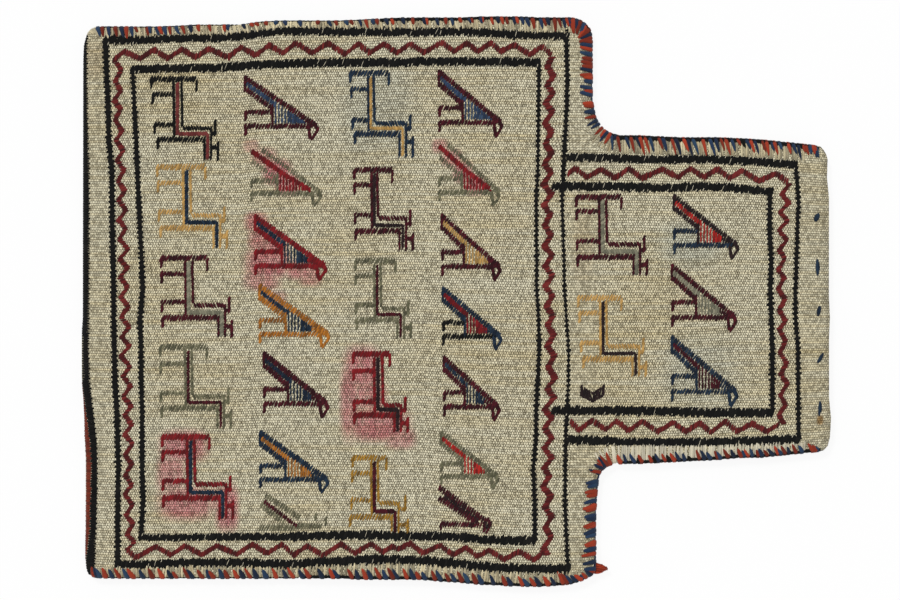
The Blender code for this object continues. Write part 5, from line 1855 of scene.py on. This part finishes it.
    def build(self) -> None:
        """Sews every stretch."""
        upper, lower = self.shape.upper, self.shape.lower
        self.whipping()
        yarns = {
            ("upper", R): self.thread("upper_red_overcast", SEAM_RED, 52),
            ("upper", B): self.thread("upper_blue_overcast", SEAM_BLUE, 53),
            ("lower", R): self.thread("lower_red_overcast", SEAM_RED, 54),
            ("lower", B): self.thread("lower_blue_overcast", SEAM_BLUE, 55),
        }
        black = self.thread("edge_black_thread", BLACK, 56)
        blue = self.thread("edge_blue_thread", SEAM_BLUE, 57)
        plain = self.thread("edge_cream_thread", CREAM, 58)
        for thread, seam, first, last, radius in (
            (plain, upper, (86, 34), (100, 26), 1.1),
            (black, upper, (100, 26), (380, 18), 0.85),
            (black, upper, (380, 18), (592, 36), 1.6),
            (blue, upper, (593, 38), (600, 122), 1.2),
            (black, upper, (612, 132), (822, 147), 2.4),
            (black, lower, (86, 572), (300, 580), 1.3),
            (black, lower, (300, 580), (580, 581), 1.5),
            (blue, lower, (586, 579), (607, 468), 1.2),
            (black, lower, (622, 467), (822, 452), 1.5),
        ):
            self.cord(thread, seam, seam.nearest(*first), seam.nearest(*last), radius)
        fine, blunt = self.fine_tip, self.blunt_tip
        runs = (
            ("upper", upper, run_along(5.0, TOP_RUN), 1.8, 2.2, fine),
            ("upper", upper, UPPER_CORNER_RUN, 2.5, 2.6, blunt),
            ("upper", upper, run_across(604.0, UPPER_SHOULDER_RUN), -1.2, 2.7, blunt),
            ("upper", upper, UPPER_ARMPIT_RUN, -0.5, 2.2, fine),
            ("upper", upper, run_along(120.0, NECK_TOP_RUN), 3.6, 2.0, fine),
            ("lower", lower, run_along(600.0, BOTTOM_RUN), -4.6, 2.75, fine),
            ("lower", lower, LOWER_CORNER_RUN, -1.0, 2.3, fine),
            ("lower", lower, run_across(610.0, LOWER_SHOULDER_RUN), -2.6, 2.6, blunt),
            ("lower", lower, LOWER_ARMPIT_RUN, -0.5, 2.3, fine),
            ("lower", lower, run_along(480.0, NECK_BOTTOM_RUN), -3.4, 2.3, fine),
        )
        for half, seam, run, slant, wide, tip in runs:
            for x, y, yarn, reach in run:
                thread = black if yarn is K else yarns[half, yarn]
                index = seam.nearest(x, y)
                lean = slant * (reach / 9.0) ** 0.5 + thread.rng.normal(0, 0.7)
                base = wide * thread.rng.uniform(0.86, 1.2)
                self.wrap(thread, seam, index, reach, lean, base, tip, self.overcast_lift)
        yarns["upper", R].finish("upper_seam_red_yarn")
        yarns["upper", B].finish("upper_seam_blue_yarn")
        yarns["lower", R].finish("lower_seam_red_yarn")
        yarns["lower", B].finish("lower_seam_blue_yarn")
        black.finish()
        blue.finish()
        plain.finish()


@dataclass(frozen=True)
class LooseEnd(YarnWork):
    """The frayed end of red yarn at the lower shoulder."""

    strands: int = 40
    root: float = 0.0045
    heights: tuple[float, float] = (0.003, 0.0062)
    corner: tuple[float, float] = (594.5, 568.0)
    far_end: tuple[float, float] = (608.0, 569.0)

    def build(self) -> None:
        """Lays the strands out from the corner."""
        tuft = self.thread("loose_red_strands", SEAM_RED, 61)
        for _ in range(self.strands):
            swing = tuft.rng.uniform(-1, 1)
            start = np.array([self.corner[0], self.corner[1] + swing * 5.5])
            reach = self.far_end[0] + tuft.rng.normal(0, 0.6) - abs(swing) ** 1.5 * 7
            end = np.array([reach, self.far_end[1] + swing * 4.0])
            height = tuft.rng.uniform(*self.heights)
            path = []
            for share in np.linspace(0, 1, 5):
                spot = start + (end - start) * share + np.array([0, math.sin(share * 3) * 0.6])
                path.append(chart_point(*spot, self.root + (height - self.root) * share))
            tuft.tube(np.array(path), np.linspace(1.0, 0.45, 5) * SQUARE, 1.0, 5)
        tuft.finish("loose_yarn_end")


@dataclass(frozen=True)
class FoldStripes(YarnWork):
    """The black stripe and the brick-red stripe woven round the fold."""

    lowest: float = 0.0007
    row_pitch: float = 2.5

    def arc(self, thread: Thread, y: float, start: float, end: float) -> None:
        """One stitch round the fold between two places along it, 0 at the top of the fold, in squares.

        Args:
            thread: The thread.
            y: The row's place across the chart.
            start: Where it starts.
            end: Where it ends.
        """
        fold = self.shape.fold_line
        top = float(self.shape.front(fold, y))
        radius = top - self.shape.middle
        edge = (fold - float(FOLD_EDGE.read(y))) * SQUARE
        depth = min(edge, radius * 1.25)
        path, out = [], []
        for place in np.linspace(start, end, 6):
            if place < 0:
                path.append(chart_point(fold - place, y, float(self.shape.front(fold - place, y))))
                out.append(UP)
            else:
                angle = place * SQUARE / radius
                path.append((
                    float(chart_x(fold)) - depth * math.sin(angle),
                    float(chart_y(y)),
                    max(self.shape.middle + radius * math.cos(angle), self.lowest),
                ))
                out.append((-math.sin(angle), 0.0, math.cos(angle)))
        radii = np.array([0.9, 1.45, 1.5, 1.5, 1.45, 0.9]) * SQUARE
        thread.tube(np.array(path), radii, 0.5, 6, np.array(out))

    def build(self) -> None:
        """Works both stripes, row by row."""
        black = self.thread("fold_black_rows", BLACK, 71)
        red = self.thread("fold_red_rows", BRICK, 72)
        inner = ChartLine((
            (30, 87.4), (110, 87.8), (140, 88.6), (170, 89.6), (260, 89.6), (290, 89.4), (350, 89), (380, 90),
            (410, 93.4), (440, 96.8), (470, 97.8), (500, 97.2), (530, 96.4), (560, 95.4), (578, 94),
        ))
        outer = ChartLine(((30, 1.0), (340, 1.0), (400, 0.4), (450, -0.15), (535, -0.1), (562, 1.0)))
        for row, y in enumerate(np.arange(36, 576, self.row_pitch)):
            high = float(inner.read(y)) + (0.45 if row % 2 else -0.45) + black.rng.normal(0, 0.15)
            start = self.shape.fold_line - high
            end = start + 7.2 + 4.5 * float(outer.read(y)) + black.rng.normal(0, 0.3)
            self.arc(black, float(y), start, end)
            self.arc(red, float(y), end - 0.2, end + 7.5)
        black.finish("fold_black_stripe")
        red.finish("fold_red_stripe")


@dataclass(frozen=True)
class MouthStitches(YarnWork):
    """The five short blue stitches along the mouth."""

    places: tuple[tuple[float, float, float, float, float], ...] = (
        (817, 217, 0.35, 8.5, 5.0), (818, 267, 0.05, 15.5, 3.6), (819, 311, 0.12, 12.5, 4.2),
        (820.5, 358, 0.40, 13.5, 3.8), (820, 408, 0.0, 15.0, 3.4),
    )

    def build(self) -> None:
        """Works each of them in two strands, at its place and with its own lean, length and width."""
        for number, (x, y, lean, length, wide) in enumerate(self.places, 1):
            line = self.thread("mouth_blue_stitch_%d" % number, NAVY, 80 + number)
            line.lay(x - 0.35, y + 0.4, (lean, -1.0), length, wide, 2.2)
            line.lay(x + 0.7, y - 0.9, (lean - 0.1, -1.0), length * 0.7, wide * 0.75, 2.6)
            line.finish("mouth_stitch_%d" % number)


# The studio

@dataclass(frozen=True)
class Studio:
    """A white floor, soft light and the camera straight above."""

    camera_height: float = 2.0
    sensor: float = 36.0
    frame_width: float = 900.0
    frame_middle: tuple[float, float] = (450.0, 300.0)
    world_level: float = 0.62
    key_level: float = 1.15
    paper: tuple[float, float, float, float] = (0.8, 0.8, 0.8, 1.0)
    floor_glow: float = 1.04
    floor_share: float = 0.86
    key_angle: float = 14.0
    key_turn: tuple[float, float, float] = (-34.0, -26.0, 0.0)
    clip: tuple[float, float] = (0.05, 20.0)

    def floor(self) -> None:
        """The floor: white to the camera, and with the bag's soft shadow."""
        deselect_all()
        bpy.ops.mesh.primitive_plane_add(size=6.0, location=(0.0, 0.0, FLOOR_HEIGHT))
        floor = bpy.context.object
        floor.name = "studio_floor"
        material = bpy.data.materials.new("studio_white")
        graph = Graph(material.name, material)
        paper = graph.node("ShaderNodeBsdfDiffuse", {}, {"Color": self.paper})
        glow = graph.node("ShaderNodeEmission", {}, {"Strength": self.floor_glow})
        rays = graph.node("ShaderNodeLightPath", {}, {}).outputs
        more = Signal(graph, rays["Is Glossy Ray"]).larger(rays["Is Transmission Ray"])
        share = Signal(graph, rays["Is Camera Ray"]).larger(more) * self.floor_share
        both = graph.node("ShaderNodeMixShader", {}, {0: share, 1: paper.outputs[0], 2: glow.outputs[0]})
        graph.node("ShaderNodeOutputMaterial", {}, {0: both.outputs[0]})
        floor.data.materials.append(material)

    def light(self) -> None:
        """Even light all round, and a soft key from the upper left."""
        world = bpy.data.worlds.new("studio_world")
        bpy.context.scene.world = world
        graph = Graph(world.name, world)
        seen = graph.node("ShaderNodeLightPath", {}, {}).outputs["Is Camera Ray"]
        soft, white = (
            graph.node("ShaderNodeBackground", {}, {"Color": (1.0, 1.0, 1.0, 1.0), "Strength": level}).outputs[0]
            for level in (self.world_level, 1.0)
        )
        both = graph.node("ShaderNodeMixShader", {}, {0: seen, 1: soft, 2: white})
        graph.node("ShaderNodeOutputWorld", {}, {0: both.outputs[0]})
        key = bpy.data.lights.new("key_light", "SUN")
        key.energy = self.key_level
        key.angle = math.radians(self.key_angle)
        lamp = bpy.data.objects.new("key_light", key)
        lamp.rotation_euler = [math.radians(turn) for turn in self.key_turn]
        bpy.context.scene.collection.objects.link(lamp)

    def camera(self, shape: BagShape) -> None:
        """The camera, straight down, with the chart filling its frame.

        Args:
            shape: The bag's shape.
        """
        data = bpy.data.cameras.new("camera")
        data.sensor_width = self.sensor
        data.lens = self.sensor * self.camera_height / (self.frame_width * SQUARE)
        data.clip_start, data.clip_end = self.clip
        camera = bpy.data.objects.new("camera", data)
        camera.location = chart_point(*self.frame_middle, shape.top + self.camera_height)
        bpy.context.scene.collection.objects.link(camera)
        bpy.context.scene.camera = camera
        bpy.context.scene.view_settings.view_transform = "Standard"

    def build(self, shape: BagShape) -> None:
        """Sets up the floor, the light and the camera.

        Args:
            shape: The bag's shape.
        """
        self.floor()
        self.light()
        self.camera(shape)


def main() -> None:
    """Builds the dressed bag piece by piece."""
    logging.basicConfig(level=logging.INFO, format="%(name)s: %(message)s")
    shape = BagShape()
    stitch = Stitch()
    work = YarnWork(shape, stitch)
    cloth = SaltBagCloth(shape, GROUND).build()
    BorderLines(shape, stitch).build()
    Zigzags(shape, stitch).build()
    for seed, figure in enumerate(figures()):
        figure.build(work, FIRST_FIGURE_SEED + seed)
    HoofMark().build(work)
    OvercastSeam(shape, stitch).build()
    LooseEnd(shape, stitch).build()
    FoldStripes(shape, stitch).build()
    MouthStitches(shape, stitch).build()
    Studio().build(shape)


if __name__ == "__main__":
    main()
